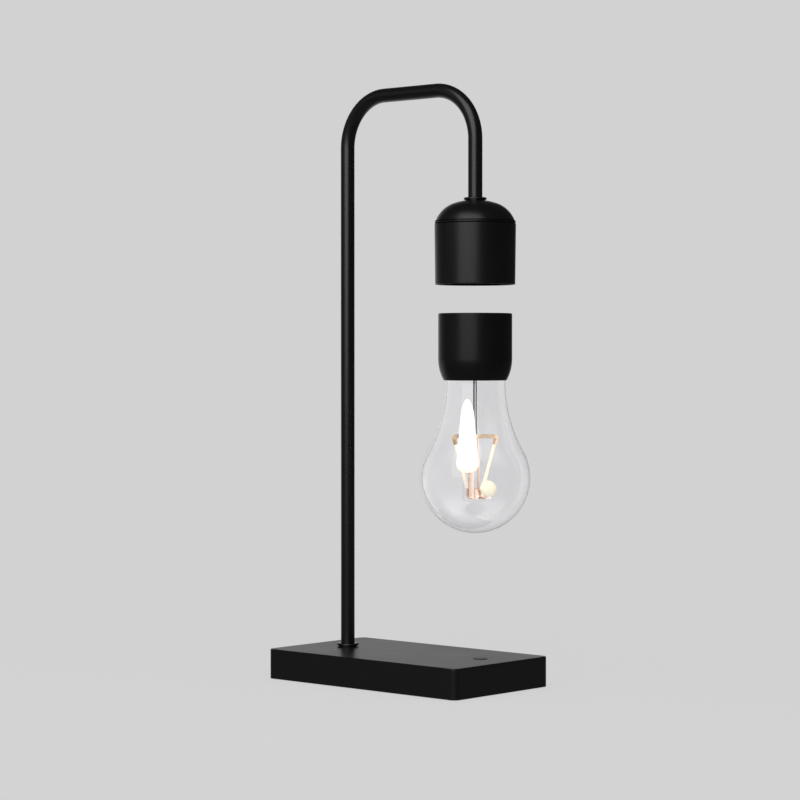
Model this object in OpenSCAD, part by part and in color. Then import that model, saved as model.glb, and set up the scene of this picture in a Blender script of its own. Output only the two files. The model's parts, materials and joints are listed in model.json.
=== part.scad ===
// Levitating desk lamp. A glass bulb floats under the drop of a bent-tube arm, held by
// magnets in a pod, above a flat base that charges a device laid on it.
// Millimetres, Z up. The origin lies on the standing surface under the middle of the base,
// and X runs along the base from the pole towards the bulb.

/* [Base] */
// Length of the base, along the arm
base_l = 179; // [169:1:220]
// Width of the base
base_w = 101; // [94:1:130]
// Height of the top face above the standing surface
base_h = 22; // [22:0.5:30]
// Radius of the upright edges
base_corner_r = 5; // [2.5:0.25:6]
// Radius of the edges round the top face
base_edge_r = 0.8; // [0.4:0.1:1.5]
// Thickness of the side walls
side_wall = 4; // [3.5:0.25:5]
// Thickness of the top wall
top_wall = 3; // [2:0.25:3]
// Width of the rim outside the bottom plate
plate_rim = 2; // [1.5:0.25:2.25]
// Thickness of the steel bottom plate
plate_t = 2; // [1.75:0.25:2.5]
// Thickness of the pad that the lamp stands on
pad_t = 0.6; // [0.4:0.1:1]
// Distance from the base's sides to the pad
pad_inset = 5; // [3:0.5:9]
// Distance from the base's sides to the cover screws
screw_inset = 10; // [9:0.5:12]
// Thickness of the steel ballast
ballast_t = 8; // [6:0.5:9]
// Width of the steel ballast
ballast_w = 80; // [50:1:82]

/* [Charger and board] */
// Outer diameter of the charging coil
charge_coil_d = 44; // [36:1:50]
// Inner diameter of the charging coil
charge_coil_bore = 20; // [14:1:24]
// Thickness of the charging coil
charge_coil_t = 2.2; // [1.5:0.1:2.5]
// Side of the square ferrite sheet
ferrite_w = 50; // [50:1:60]
// Thickness of the ferrite sheet
ferrite_t = 1.2; // [0.8:0.1:2]
// Length of the base board along X
board_l = 38; // [36:1:42]
// Length of the base board along Y
board_w = 70; // [66:1:74]
// Thickness of every circuit board
board_t = 1.6; // [1:0.1:1.6]
// Height of the spacers under the base board
spacer_h = 2; // [1.5:0.1:2]
// Diameter of the inlet's centre pin
jack_pin_d = 2; // [1.6:0.1:2.5]
// Diameter of the inlet's bore
jack_bore_d = 6.4; // [5.5:0.1:6.6]
// Depth of the inlet's bore
jack_bore_depth = 10; // [8:0.5:12]
// Diameter of the push button
button_d = 9.4; // [8:0.1:11]
// How far the button stands above the base
button_proud = 0.4; // [0.2:0.1:0.8]
// Travel of the push button
button_travel = 0.8; // [0.5:0.1:1]

/* [Arm] */
// Outer diameter of the arm tube
tube_d = 10; // [9:0.1:11]
// Wall of the arm tube
tube_wall = 1.2; // [0.8:0.1:1.6]
// Radius of the tube's bends at its centre line
bend_r = 36; // [30:1:45]
// Distance from the pole to the drop
arm_reach = 121.5; // [110:0.5:135]
// Distance from the base's end to the pole
pole_inset = 32; // [29.5:0.5:34.5]
// Height of the arm's centre line over the pod's seam
arm_over_seam = 94.7; // [80:0.1:120]
// Diameter of the cable inside the tube
cable_d = 2.2; // [1.6:0.1:3]
// Diameter of the collars round the tube
collar_d = 16; // [15:0.5:18]
// Height of the collars round the tube
collar_h = 2.4; // [2:0.1:3]

/* [Pod] */
// Radius of the pod at its seam
pod_r = 28.3; // [28:0.1:30]
// How much narrower the pod is at its foot
pod_draft = 0.5; // [0:0.1:0.8]
// Height of the pod's body
pod_h = 42.3; // [42.3:0.1:49.3]
// Thickness of the pod's wall
pod_wall = 2.3; // [1.8:0.1:2.4]
// Radius of the dome's shoulder
dome_shoulder_r = 20.3; // [19.5:0.1:21]
// Radius of the dome's crown
dome_crown_r = 46.2; // [44:0.2:48]
// Radius of the lifting coil
lift_coil_r = 17; // [14:0.5:17.4]
// Radius of the steel core
lift_core_r = 6; // [4:0.5:7]
// Height of the lifting coil's winding
lift_coil_h = 23.5; // [18:0.5:23.5]

/* [Floating bulb] */
// Gap between the base and the bulb
bulb_lift = 88.2; // [70:0.2:120]
// Radius of the glass ball
bulb_r = 38.4; // [35:0.1:42]
// Radius of the glass neck
neck_r = 20.9; // [20:0.1:21.2]
// Radius of the curve from the ball to the neck
neck_sweep_r = 102; // [80:1:120]
// Thickness of the glass
glass_t = 1; // [0.8:0.1:1.5]
// Length of the neck inside the cap
neck_h = 12; // [10:0.5:14]
// Radius of the cap
cap_r = 25.7; // [25.4:0.1:28]
// Height of the cap
cap_h = 46.6; // [45:0.1:55]
// Height of the cap's drawn-in foot
cap_foot_h = 15; // [12:0.5:16]
// Radius of the curve of the cap's foot
cap_foot_r = 31; // [28:1:60]
// Gap over which the bulb floats
float_gap = 19.8; // [12:0.1:25]
// Diameter of the floating magnet
magnet_d = 30; // [24:0.5:32]
// Height of the floating magnet
magnet_h = 8; // [6:0.5:9]
// Turn of the light unit about the bulb's axis
light_turn = 42; // [0:1:90]
// Height of the filament anchor above the glass ball's centre
anchor_up = 28.8; // [24:0.2:34]
// Half of the anchor's span
anchor_reach = 14.4; // [12:0.1:16]
// Depth of the hub's foot below the glass ball's centre
hub_down = 13.4; // [10:0.2:18]
// Radius of the copper hub
hub_r = 6.5; // [5.6:0.1:7]
// Diameter of a filament
filament_d = 2.3; // [1.5:0.1:2.6]
// Height of the flame light
flame_h = 51; // [40:0.5:56]
// Largest radius of the flame light
flame_r = 7.7; // [5:0.1:7.8]
// Radius of the round bead light
bead_r = 5.6; // [4:0.1:5.8]

/* [Hidden] */
$fn = 64;

// Clearances: pieces fixed to each other, pieces that move past each other, cutters
fit_gap = 0.1;
run_gap = 0.3;
cut = 1;
arc_steps = 16;

// Colours
black = [0.03, 0.03, 0.032];
steel = [0.62, 0.63, 0.65];
copper = [0.78, 0.43, 0.24];
gold = [0.83, 0.62, 0.3];
board_green = [0.05, 0.22, 0.12];
chip_grey = [0.12, 0.12, 0.13];
magnet_grey = [0.7, 0.71, 0.73];
ferrite_grey = [0.2, 0.2, 0.21];
plastic_white = [0.88, 0.87, 0.84];
glass = [0.9, 0.95, 0.97, 0.3];
light_yellow = [1, 0.93, 0.7];
light_white = [1, 0.98, 0.94];

// Levels of the base, from the standing surface up
plate_z = pad_t;
plate_top = plate_z + plate_t;
ceiling_z = base_h - top_wall;
board_z = plate_top + spacer_h;
board_top = board_z + board_t;

// Places along the base
pole_x = pole_inset - base_l / 2;
bulb_x = pole_x + arm_reach;
board_inset = 37.5;
board_wall_gap = 0.5;
button_inset = 26.5;
button_y = 7;
jack_shift = -4;
ballast_pole_gap = 21.5;
ballast_board_gap = 3;
board_x = base_l / 2 - board_inset;
board_y = base_w / 2 - side_wall - board_wall_gap - board_w / 2;
button_x = base_l / 2 - button_inset;
jack_x = board_x + jack_shift;
charge_x = (pole_x + button_x) / 2;
ballast_x0 = pole_x + ballast_pole_gap;
ballast_x1 = board_x - board_l / 2 - ballast_board_gap;

// Screws: shank, head, and the depth that the hole runs past the screw's end
cover_screw_r = 1.5;
cover_head_r = 2.8;
cover_head_h = 1.1;
small_screw_r = 1.2;
small_head_r = 2.2;
small_head_h = 1;
boss_r = 3.75;
boss_screw_l = 10;
ballast_screw_l = 5;
post_screw_l = 3.4;
screw_past = 1;
screw_end_gap = 0.2;
key_share = 0.7;
ballast_screw_inset = 10;
board_screw_inset = 4;

// Tube, nuts and collars
tube_r = tube_d / 2;
nut_af = 17;
nut_t = 2.8;
tube_past_nut = 0.5;
collar_neck_h = 0.6;
collar_neck_wall = 1.6;
collar_neck_r = tube_r + collar_neck_wall;
bracket_l = 34;
bracket_w = 60;
bracket_t = 2;
pole_foot_z = ceiling_z - bracket_t - nut_t - tube_past_nut;
cable_bend_r = 5;
channel_side = 1.5;

// Parts on the boards: a corner's place, then the size. Places on the base board are taken
// from its middle along X and from the cable's line along Y
base_chips = [[[-10, 15.5], [8, 8, 4]], [[6, -7], [7, 7, 1.2]], [[-10, 7.5], [5, 4, 1.2]]];
pod_chips = [
  [[8, -4], [8, 8, 3]], [[-14, -3], [6, 6, 1.2]], [[-3, 9], [7, 5, 1.2]], [[-4, -15], [8, 7, 2.5]]
];
cap_chips = [[[3, -4], [7, 7, 1.4]], [[-9, 4], [5, 4, 1.2]], [[-8, -8], [6, 6, 3]]];
capacitor_r = 4;
capacitor_h = 9.5;
capacitor_at = [[5, 18], [5, 28]];

// Socket of the cable, inlet, switch and button
socket_size = [7, 8, 5];
socket_edge_gap = 1;
socket_x = board_x - board_l / 2 + socket_edge_gap;
cable_z = board_top + socket_size[2] / 2;
jack_size = [9, 13, 10.6];
jack_nose_wall = 0.9;
jack_nose_sunk = 0.3;
jack_nose_r = jack_bore_d / 2 + jack_nose_wall;
jack_axis_z = board_top + jack_size[2] / 2;
jack_wall_y = base_w / 2 - side_wall;
jack_front_y = base_w / 2 - jack_nose_sunk;
jack_pin_short = 0.8;
switch_w = 6;
switch_h = 3.4;
plunger_r = 1.75;
plunger_sunk = 1.4;
plunger_h = 5;
plunger_z = board_top + switch_h - plunger_sunk;
button_flange_w = 1.5;
button_flange_t = 1.4;
button_flange_r = button_d / 2 + button_flange_w;
button_stem_r = 2;

// Levels of the floating bulb, the pod and the arm
glass_z = base_h + bulb_lift;
ball_z = glass_z + bulb_r;
cap_z = ball_z + sqrt((bulb_r + neck_sweep_r) ^ 2 - (neck_r + neck_sweep_r) ^ 2);
cap_top = cap_z + cap_h;
pod_z = cap_top + float_gap;
seam_z = pod_z + pod_h;
arm_z = seam_z + arm_over_seam;
bend_z = arm_z - bend_r;

// Pod: seam band, floor and cover
seam_groove_h = 0.6;
seam_groove_d = 0.8;
seam_band_h = 1;
seam_band_d = 0.25;
dome_z = seam_z + 2 * seam_groove_h + seam_band_h;
pod_edge = 0.5;
pod_in_r = pod_r - pod_wall;
cover_t = 1;
cover_sunk = 0.3;
cover_rim = 1.3;
cover_r = pod_r - pod_draft - cover_rim;
pod_floor_z = pod_z + cover_sunk + cover_t;
pod_floor_t = 1.8;
pod_floor_top = pod_floor_z + pod_floor_t;

// Dome: the shoulder circle touches the crown circle from inside
dome_flare = 0.45;
dome_sink = 7.2;
dome_wall = 2.2;
dome_flat_down = 0.85;
dome_roof_t = 2.5;
dome_skirt_h = 3.5;
dome_skirt_t = 1;
shoulder_c = [pod_r + dome_flare - dome_shoulder_r, dome_z - dome_sink];
crown_z = shoulder_c[1] - sqrt((dome_crown_r - dome_shoulder_r) ^ 2 - shoulder_c[0] ^ 2);
dome_turn = atan2(shoulder_c[1] - crown_z, shoulder_c[0]);
dome_top = crown_z + dome_crown_r - dome_flat_down;
dome_roof = dome_top - dome_roof_t;
dome_skirt_r = pod_in_r - fit_gap;
drop_end_z = dome_roof - nut_t - tube_past_nut;

// Inside the pod
pillar_c = 21.6;
pillar_r = 3;
pillar_turns = [60, 180, 300];
seat_r = 11.2;
seat_wall = 1.6;
seat_h = 3;
seat_notch = 5;
power_coil_r = [12.2, 18];
power_coil_t = board_t;
hall_board_r = 8.5;
hall_size = [4, 3, 1.2];
ribbon_w = 4;
ribbon_t = 0.3;
ribbon_x = [5, 20];
bobbin_z = pod_floor_top + seat_h;
bobbin_flange_t = 1.5;
bobbin_flange_over = 0.6;
bobbin_flange_r = lift_coil_r + bobbin_flange_over;
bobbin_sleeve_t = 1;
bobbin_h = lift_coil_h + 2 * bobbin_flange_t;
bobbin_top = bobbin_z + bobbin_h;
bias_magnet_r = 11;
bias_magnet_h = 5;
control_gap = 1.5;
control_side_gap = 0.4;
control_z = bobbin_top + bias_magnet_h + control_gap;
control_top = control_z + board_t;
control_r = dome_skirt_r - dome_skirt_t - control_side_gap;
pin_r = 0.6;
pin_c = (bias_magnet_r + bobbin_flange_r) / 2;
pod_screw_grip = 7;

// Cap of the bulb
lid_t = 1.8;
lid_z = cap_top - lid_t;
lid_rim = 1.1;
lid_r = cap_r - lid_rim;
lid_ledge = 0.8;
cap_edge_r = 0.6;
cap_in_r = lid_r - lid_ledge;
receiver_coil_t = 1.7;
receiver_coil_gap = 1;
receiver_coil_r = [magnet_d / 2 + receiver_coil_gap, cap_in_r - receiver_coil_gap];
magnet_headroom = 2;
magnet_z = lid_z - magnet_headroom - magnet_h;
holder_t = 2;
holder_z = magnet_z - run_gap - holder_t;
holder_wall = 1.2;
post_h = 4.4;
post_r = 2;
post_c = 15;
receiver_z = holder_z - post_h - board_t;
receiver_r = 19.5;
holder_ledge = 1.5;
cap_low_r = cap_in_r - holder_ledge;
neck_top = cap_z + neck_h;
lead_r = 0.4;
lead_c = 5;

// Light unit, in the ball
stem_t = 2;
stem_z = cap_z + neck_h / 2;
stem_r = neck_r - glass_t - fit_gap;
rod_r = 1.8;
anchor_z = ball_z + anchor_up;
anchor_t = 2.8;
anchor_seat = 1;
anchor_hub_r = 2.6;
hub_z = ball_z - hub_down;
hub_h = 6;
hub_edge = 1;
hub_top = hub_z + hub_h;
post_rod_r = 0.8;
post_shift = 2.2;
filament_r = filament_d / 2;
clip_wall = 0.35;
clip_l = 3.6;
clip_r = filament_r + clip_wall;
filament_foot_gap = 0.4;
filament_foot = [hub_r - filament_r, hub_top + filament_foot_gap];
clip_drop = 2.2;
filament_head = [anchor_reach, anchor_z - clip_drop];
strip_t = 0.8;
strip_w = 3.8;
flame_at = [-5.5, -9.2];
flame_strip_shift = 2.5;
flame_up = 17.5;
flame_z = hub_z + flame_up;
flame_foot_r = 0.78 * flame_r;
flame_nose_r = 0.585 * flame_r;
flame_nose_h = 0.21 * flame_h;
flame_tip_r = 0.25 * flame_r;
bead_at = [8.8, -9.2];
bead_up = 6.4;
bead_z = hub_z + bead_up;

// Points on an arc round c from angle a0 to angle a1
function arc(c, r, a0, a1) =
  [for (i = [0 : arc_steps]) let (a = a0 + (a1 - a0) * i / arc_steps) c + r * [cos(a), sin(a)]];

// A list without its first point
function rest(v) = [for (i = [1 : len(v) - 1]) v[i]];

// A list from its last point to its first
function back(v) = [for (i = [len(v) - 1 : -1 : 0]) v[i]];

// Outline of the dome, moved in by t, from height low up to height high
function dome_arc(t, low, high) = concat(
  arc(shoulder_c, dome_shoulder_r - t, asin((low - shoulder_c[1]) / (dome_shoulder_r - t)), dome_turn),
  rest(arc([0, crown_z], dome_crown_r - t, dome_turn, asin((high - crown_z) / (dome_crown_r - t))))
);

// Outline of the glass, moved in by t: ball, then the sweep into the neck, then the neck
sweep_c = [neck_r + neck_sweep_r, cap_z];
sweep_turn = atan2(cap_z - ball_z, sweep_c[0]);
function glass_arc(t) = concat(
  arc([0, ball_z], bulb_r - t, -90, sweep_turn),
  rest(arc(sweep_c, neck_sweep_r + t, 180 + sweep_turn, 180)),
  [[neck_r - t, neck_top]]
);

// Rectangle with round corners
module rounded_rect(l, w, r) {
  difference() {
    square([l, w], center = true);
    for (x = [-1, 1], y = [-1, 1])
      translate([x * (l / 2 - r), y * (w / 2 - r)])
        difference() {
          translate([x * r, y * r]) square(2 * r, center = true);
          circle(r);
        }
  }
}

// Upright outline of the base, round at its two top corners
module base_side(l) {
  difference() {
    translate([-l / 2, plate_z]) square([l, base_h - plate_z]);
    for (x = [-1, 1])
      translate([x * (l / 2 - base_edge_r), base_h - base_edge_r])
        difference() {
          translate([x * base_edge_r, base_edge_r]) square(2 * base_edge_r, center = true);
          circle(base_edge_r);
        }
  }
}

// Flat ring
module ring(r_in, r_out, h) {
  difference() {
    cylinder(r = r_out, h = h);
    translate([0, 0, -cut]) cylinder(r = r_in, h = h + 2 * cut);
  }
}

// Screw with a hex socket, its head at the bottom and its shank pointing up
module screw(shank_r, shank_l, head_r, head_h) {
  difference() {
    union() {
      cylinder(r = head_r, h = head_h);
      cylinder(r = shank_r, h = head_h + shank_l);
    }
    translate([0, 0, -cut]) cylinder(r = key_share * shank_r, h = cut + key_share * head_h, $fn = 6);
  }
}

// Thin hex nut on the tube, standing on z = 0
module tube_nut() {
  difference() {
    cylinder(r = nut_af / 2 / cos(30), h = nut_t, $fn = 6);
    translate([0, 0, -cut]) cylinder(r = tube_r + fit_gap, h = nut_t + 2 * cut);
  }
}

// Collar round the tube, with a narrow neck under a flange that has a round rim
module tube_collar() {
  rim = (collar_h - collar_neck_h) / 2;
  rotate_extrude()
    polygon(concat(
      [[tube_r + fit_gap, 0], [collar_neck_r, 0], [collar_neck_r, collar_neck_h]],
      arc([collar_d / 2 - rim, collar_neck_h + rim], rim, -90, 90),
      [[tube_r + fit_gap, collar_h]]
    ));
}

// Boxes standing on a board
module chips(list) {
  for (chip = list)
    translate(chip[0]) cube(chip[1]);
}

// Copies at the four corners of a rectangle
module at_corners(dx, dy) {
  for (x = [-dx, dx], y = [-dy, dy])
    translate([x, y, 0]) children();
}

module at_cover_screws() {
  at_corners(base_l / 2 - screw_inset, base_w / 2 - screw_inset) children();
}

module at_ballast_screws() {
  translate([(ballast_x0 + ballast_x1) / 2, 0, 0])
    at_corners((ballast_x1 - ballast_x0) / 2 - ballast_screw_inset, ballast_w / 2 - ballast_screw_inset)
      children();
}

module at_board_screws() {
  translate([board_x, board_y, 0])
    at_corners(board_l / 2 - board_screw_inset, board_w / 2 - board_screw_inset) children();
}

module at_pillars() {
  for (a = pillar_turns)
    translate([pillar_c * cos(a), pillar_c * sin(a), 0]) children();
}

module at_posts() {
  for (a = pillar_turns)
    translate([post_c * cos(a), post_c * sin(a), 0]) children();
}

module at_bulb() {
  translate([bulb_x, 0, 0]) children();
}

// Place of the light unit, turned about the bulb's axis
module at_light() {
  at_bulb() rotate([0, 0, light_turn]) children();
}

// Rod from p to q, two points of the light unit's upright plane
module rod_between(p, q, r) {
  d = q - p;
  translate([p[0], 0, p[1]]) rotate([0, atan2(d[0], d[1]), 0]) cylinder(r = r, h = norm(d));
}

// Carries a round section up the pole, over the arm and down the drop
module along_arm(foot_z, end_z) {
  translate([pole_x, 0, foot_z]) linear_extrude(bend_z - foot_z) children();
  translate([pole_x + bend_r, 0, bend_z]) rotate([90, 0, 0])
    rotate_extrude(angle = 90, start = 90) translate([bend_r, 0]) children();
  translate([pole_x + bend_r, 0, arm_z]) rotate([0, 90, 0])
    linear_extrude(arm_reach - 2 * bend_r) children();
  translate([bulb_x - bend_r, 0, bend_z]) rotate([90, 0, 0])
    rotate_extrude(angle = 90) translate([bend_r, 0]) children();
  translate([bulb_x, 0, end_z]) linear_extrude(bend_z - end_z) children();
}

// Base

module base_housing() {
  color(black) difference() {
    union() {
      difference() {
        intersection() {
          translate([0, 0, plate_z]) linear_extrude(base_h - plate_z)
            rounded_rect(base_l, base_w, base_corner_r);
          rotate([90, 0, 0]) linear_extrude(base_w, center = true) base_side(base_l);
          rotate([90, 0, 90]) linear_extrude(base_l, center = true) base_side(base_w);
        }
        translate([side_wall - base_l / 2, side_wall - base_w / 2, plate_z - cut])
          cube([base_l - 2 * side_wall, base_w - 2 * side_wall, ceiling_z - plate_z + cut]);
        translate([0, 0, plate_z - cut]) linear_extrude(plate_t + cut)
          rounded_rect(base_l - 2 * plate_rim, base_w - 2 * plate_rim, base_corner_r - plate_rim);
      }
      at_cover_screws() translate([0, 0, plate_top]) cylinder(r = boss_r, h = base_h - plate_top - cut);
    }
    at_cover_screws() translate([0, 0, plate_top - cut])
      cylinder(r = cover_screw_r + fit_gap, h = cut + boss_screw_l + screw_past);
    translate([pole_x, 0, ceiling_z - cut]) cylinder(r = tube_r + fit_gap, h = top_wall + 2 * cut);
    translate([button_x, button_y, ceiling_z - cut])
      cylinder(r = button_d / 2 + run_gap, h = top_wall + 2 * cut);
    translate([jack_x, jack_wall_y - cut, jack_axis_z]) rotate([-90, 0, 0])
      cylinder(r = jack_nose_r + fit_gap, h = side_wall + 2 * cut);
  }
}

module bottom_plate() {
  color(steel) difference() {
    translate([0, 0, plate_z]) linear_extrude(plate_t)
      rounded_rect(base_l - 2 * (plate_rim + fit_gap), base_w - 2 * (plate_rim + fit_gap),
        base_corner_r - plate_rim);
    at_cover_screws() plate_screw_hole();
    at_ballast_screws() plate_screw_hole();
    at_board_screws() translate([0, 0, plate_z - cut])
      cylinder(r = small_screw_r + fit_gap, h = plate_t + 2 * cut);
  }
}

// Hole through the plate with a pocket for the screw's head
module plate_screw_hole() {
  translate([0, 0, plate_z - cut]) cylinder(r = cover_screw_r + fit_gap, h = plate_t + 2 * cut);
  translate([0, 0, plate_z - cut]) cylinder(r = cover_head_r + fit_gap, h = cut + cover_head_h);
}

module base_pad() {
  color(chip_grey) linear_extrude(pad_t)
    rounded_rect(base_l - 2 * pad_inset, base_w - 2 * pad_inset, base_corner_r);
}

module cover_screws() {
  color(steel) at_cover_screws() translate([0, 0, plate_z])
    screw(cover_screw_r, plate_t - cover_head_h + boss_screw_l, cover_head_r, cover_head_h);
}

module ballast_plate() {
  channel_w = cable_d + 2 * channel_side;
  channel_z = cable_z - cable_d / 2 - fit_gap;
  color(steel) difference() {
    translate([ballast_x0, -ballast_w / 2, plate_top])
      cube([ballast_x1 - ballast_x0, ballast_w, ballast_t]);
    translate([ballast_x0 - cut, -channel_w / 2, channel_z])
      cube([ballast_x1 - ballast_x0 + 2 * cut, channel_w, ballast_t + cut]);
    at_ballast_screws() translate([0, 0, plate_top - cut])
      cylinder(r = cover_screw_r + fit_gap, h = cut + ballast_screw_l + screw_past);
  }
}

module ballast_screws() {
  color(steel) at_ballast_screws() translate([0, 0, plate_z])
    screw(cover_screw_r, plate_t - cover_head_h + ballast_screw_l, cover_head_r, cover_head_h);
}

module pole_bracket() {
  color(steel) difference() {
    translate([pole_x - bracket_l / 2, -bracket_w / 2, ceiling_z - bracket_t])
      cube([bracket_l, bracket_w, bracket_t]);
    translate([pole_x, 0, ceiling_z - bracket_t - cut])
      cylinder(r = tube_r + fit_gap, h = bracket_t + 2 * cut);
  }
}

module pole_nut() {
  color(steel) translate([pole_x, 0, ceiling_z - bracket_t - nut_t]) tube_nut();
}

module pole_collar() {
  color(black) translate([pole_x, 0, base_h]) tube_collar();
}

module charging_coil() {
  color(copper) translate([charge_x, 0, ceiling_z - charge_coil_t])
    ring(charge_coil_bore / 2, charge_coil_d / 2, charge_coil_t);
}

module coil_ferrite() {
  color(ferrite_grey) translate([charge_x, 0, ceiling_z - charge_coil_t - ferrite_t / 2])
    cube([ferrite_w, ferrite_w, ferrite_t], center = true);
}

module base_board() {
  color(board_green) difference() {
    translate([board_x - board_l / 2, board_y - board_w / 2, board_z]) cube([board_l, board_w, board_t]);
    at_board_screws() translate([0, 0, board_z - cut])
      cylinder(r = small_screw_r + fit_gap, h = board_t + 2 * cut);
  }
}

module board_spacers() {
  color(gold) at_board_screws() translate([0, 0, plate_top])
    ring(small_screw_r + fit_gap, small_head_r, spacer_h);
}

module board_screws() {
  color(steel) at_board_screws() translate([0, 0, board_top + small_head_h]) mirror([0, 0, 1])
    screw(small_screw_r, board_t + spacer_h + plate_t - screw_end_gap, small_head_r, small_head_h);
}

module board_capacitors() {
  color(chip_grey) translate([board_x, 0, board_top]) for (at = capacitor_at)
    translate(at) cylinder(r = capacitor_r, h = capacitor_h);
}

module board_chips() {
  color(chip_grey) translate([board_x, 0, board_top]) chips(base_chips);
}

module cable_socket() {
  color(plastic_white) translate([socket_x, -socket_size[1] / 2, board_top]) cube(socket_size);
}

module dc_jack() {
  color(chip_grey) difference() {
    union() {
      translate([jack_x - jack_size[0] / 2, jack_wall_y - jack_size[1], board_top]) cube(jack_size);
      translate([jack_x, jack_wall_y - cut, jack_axis_z]) rotate([-90, 0, 0])
        cylinder(r = jack_nose_r, h = jack_front_y - jack_wall_y + cut);
    }
    translate([jack_x, jack_front_y - jack_bore_depth, jack_axis_z]) rotate([-90, 0, 0])
      cylinder(r = jack_bore_d / 2, h = jack_bore_depth + cut);
  }
}

module jack_pin() {
  color(magnet_grey) translate([jack_x, jack_front_y - jack_bore_depth, jack_axis_z]) rotate([-90, 0, 0])
    cylinder(r = jack_pin_d / 2, h = jack_bore_depth - jack_pin_short);
}

module tact_switch() {
  color(chip_grey) difference() {
    translate([button_x - switch_w / 2, button_y - switch_w / 2, board_top])
      cube([switch_w, switch_w, switch_h]);
    translate([button_x, button_y, plunger_z - button_travel - run_gap])
      cylinder(r = plunger_r + run_gap, h = switch_h + cut);
  }
}

module switch_plunger() {
  color(plastic_white) translate([button_x, button_y, plunger_z]) cylinder(r = plunger_r, h = plunger_h);
}

module mode_button() {
  flange_z = ceiling_z - run_gap - button_flange_t;
  stem_foot = plunger_z + plunger_h;
  color(black) translate([button_x, button_y, 0]) rotate_extrude()
    polygon([
      [0, stem_foot], [button_stem_r, stem_foot], [button_stem_r, flange_z],
      [button_flange_r, flange_z], [button_flange_r, flange_z + button_flange_t],
      [button_d / 2, flange_z + button_flange_t], [button_d / 2, base_h + button_proud / 2],
      [button_d / 2 - button_proud / 2, base_h + button_proud], [0, base_h + button_proud]
    ]);
}

// Arm

module arm_tube() {
  color(black) along_arm(pole_foot_z, drop_end_z) difference() {
    circle(tube_r);
    circle(tube_r - tube_wall);
  }
}

module arm_cable() {
  color(chip_grey) {
    along_arm(cable_z + cable_bend_r, control_top + socket_size[2]) circle(d = cable_d);
    translate([pole_x + cable_bend_r, 0, cable_z + cable_bend_r]) rotate([90, 0, 0])
      rotate_extrude(angle = 90, start = 180) translate([cable_bend_r, 0]) circle(d = cable_d);
    translate([pole_x + cable_bend_r, 0, cable_z]) rotate([0, 90, 0])
      cylinder(d = cable_d, h = socket_x - pole_x - cable_bend_r);
  }
}

// Pod

module pod_collar() {
  color(black) at_bulb() translate([0, 0, dome_top]) tube_collar();
}

module pod_dome() {
  inside = dome_arc(dome_wall, dome_z, dome_roof);
  color(black) at_bulb() difference() {
    union() {
      rotate_extrude()
        polygon(concat(
          dome_arc(0, dome_z, dome_top),
          [[tube_r + fit_gap, dome_top], [tube_r + fit_gap, dome_roof]],
          back(inside),
          [[dome_skirt_r - dome_skirt_t, dome_z], [dome_skirt_r - dome_skirt_t, dome_z - dome_skirt_h],
            [dome_skirt_r, dome_z - dome_skirt_h], [dome_skirt_r, dome_z]]
        ));
      intersection() {
        at_pillars() translate([0, 0, control_top]) cylinder(r = pillar_r, h = dome_top - control_top);
        dome_fill();
      }
    }
    at_pillars() translate([0, 0, control_top - cut])
      cylinder(r = small_screw_r + fit_gap, h = cut + pod_screw_grip + screw_past);
  }
}

// Space that the dome's screw bosses may fill, from the board to the middle of its wall
module dome_fill() {
  outline = dome_arc(dome_wall / 2, dome_z, dome_roof);
  rotate_extrude()
    polygon(concat(
      [[0, control_top], [outline[0][0], control_top]],
      outline,
      [[0, dome_roof]]
    ));
}

module pod_nut() {
  color(steel) at_bulb() translate([0, 0, dome_roof - nut_t]) tube_nut();
}

module pod_body() {
  foot_r = pod_r - pod_draft;
  color(black) at_bulb() difference() {
    union() {
      rotate_extrude()
        polygon([
          [0, pod_floor_z], [cover_r, pod_floor_z], [cover_r, pod_z], [foot_r - pod_edge, pod_z],
          [foot_r, pod_z + pod_edge], [pod_r, seam_z], [pod_r - seam_groove_d, seam_z],
          [pod_r - seam_groove_d, seam_z + seam_groove_h], [pod_r - seam_band_d, seam_z + seam_groove_h],
          [pod_r - seam_band_d, seam_z + seam_groove_h + seam_band_h],
          [pod_r - seam_groove_d, seam_z + seam_groove_h + seam_band_h],
          [pod_r - seam_groove_d, dome_z], [pod_in_r, dome_z], [pod_in_r, pod_floor_top], [0, pod_floor_top]
        ]);
      at_pillars() translate([0, 0, pod_floor_top - cut])
        cylinder(r = pillar_r, h = control_z - pod_floor_top + cut);
      translate([0, 0, pod_floor_top - cut]) difference() {
        ring(seat_r - seat_wall, seat_r, seat_h + cut);
        translate([0, -seat_notch / 2, cut]) cube([seat_r + cut, seat_notch, seat_h + cut]);
      }
    }
    at_pillars() translate([0, 0, pod_floor_z - cut]) {
      cylinder(r = small_screw_r + fit_gap, h = control_z - pod_floor_z + 2 * cut);
      cylinder(r = small_head_r + fit_gap, h = cut + small_head_h);
    }
  }
}

module pod_cover() {
  color(black) at_bulb() translate([0, 0, pod_z + cover_sunk]) cylinder(r = cover_r - fit_gap, h = cover_t);
}

module pod_screws() {
  color(steel) at_bulb() at_pillars() translate([0, 0, pod_floor_z])
    screw(small_screw_r, control_top - pod_floor_z - small_head_h + pod_screw_grip,
      small_head_r, small_head_h);
}

module power_coil() {
  color(copper) at_bulb() translate([0, 0, pod_floor_top])
    ring(power_coil_r[0], power_coil_r[1], power_coil_t);
}

module hall_board() {
  color(board_green) at_bulb() translate([0, 0, pod_floor_top]) cylinder(r = hall_board_r, h = board_t);
}

module hall_sensor() {
  color(chip_grey) at_bulb() translate([-hall_size[0] / 2, -hall_size[1] / 2, pod_floor_top + board_t])
    cube(hall_size);
}

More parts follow.
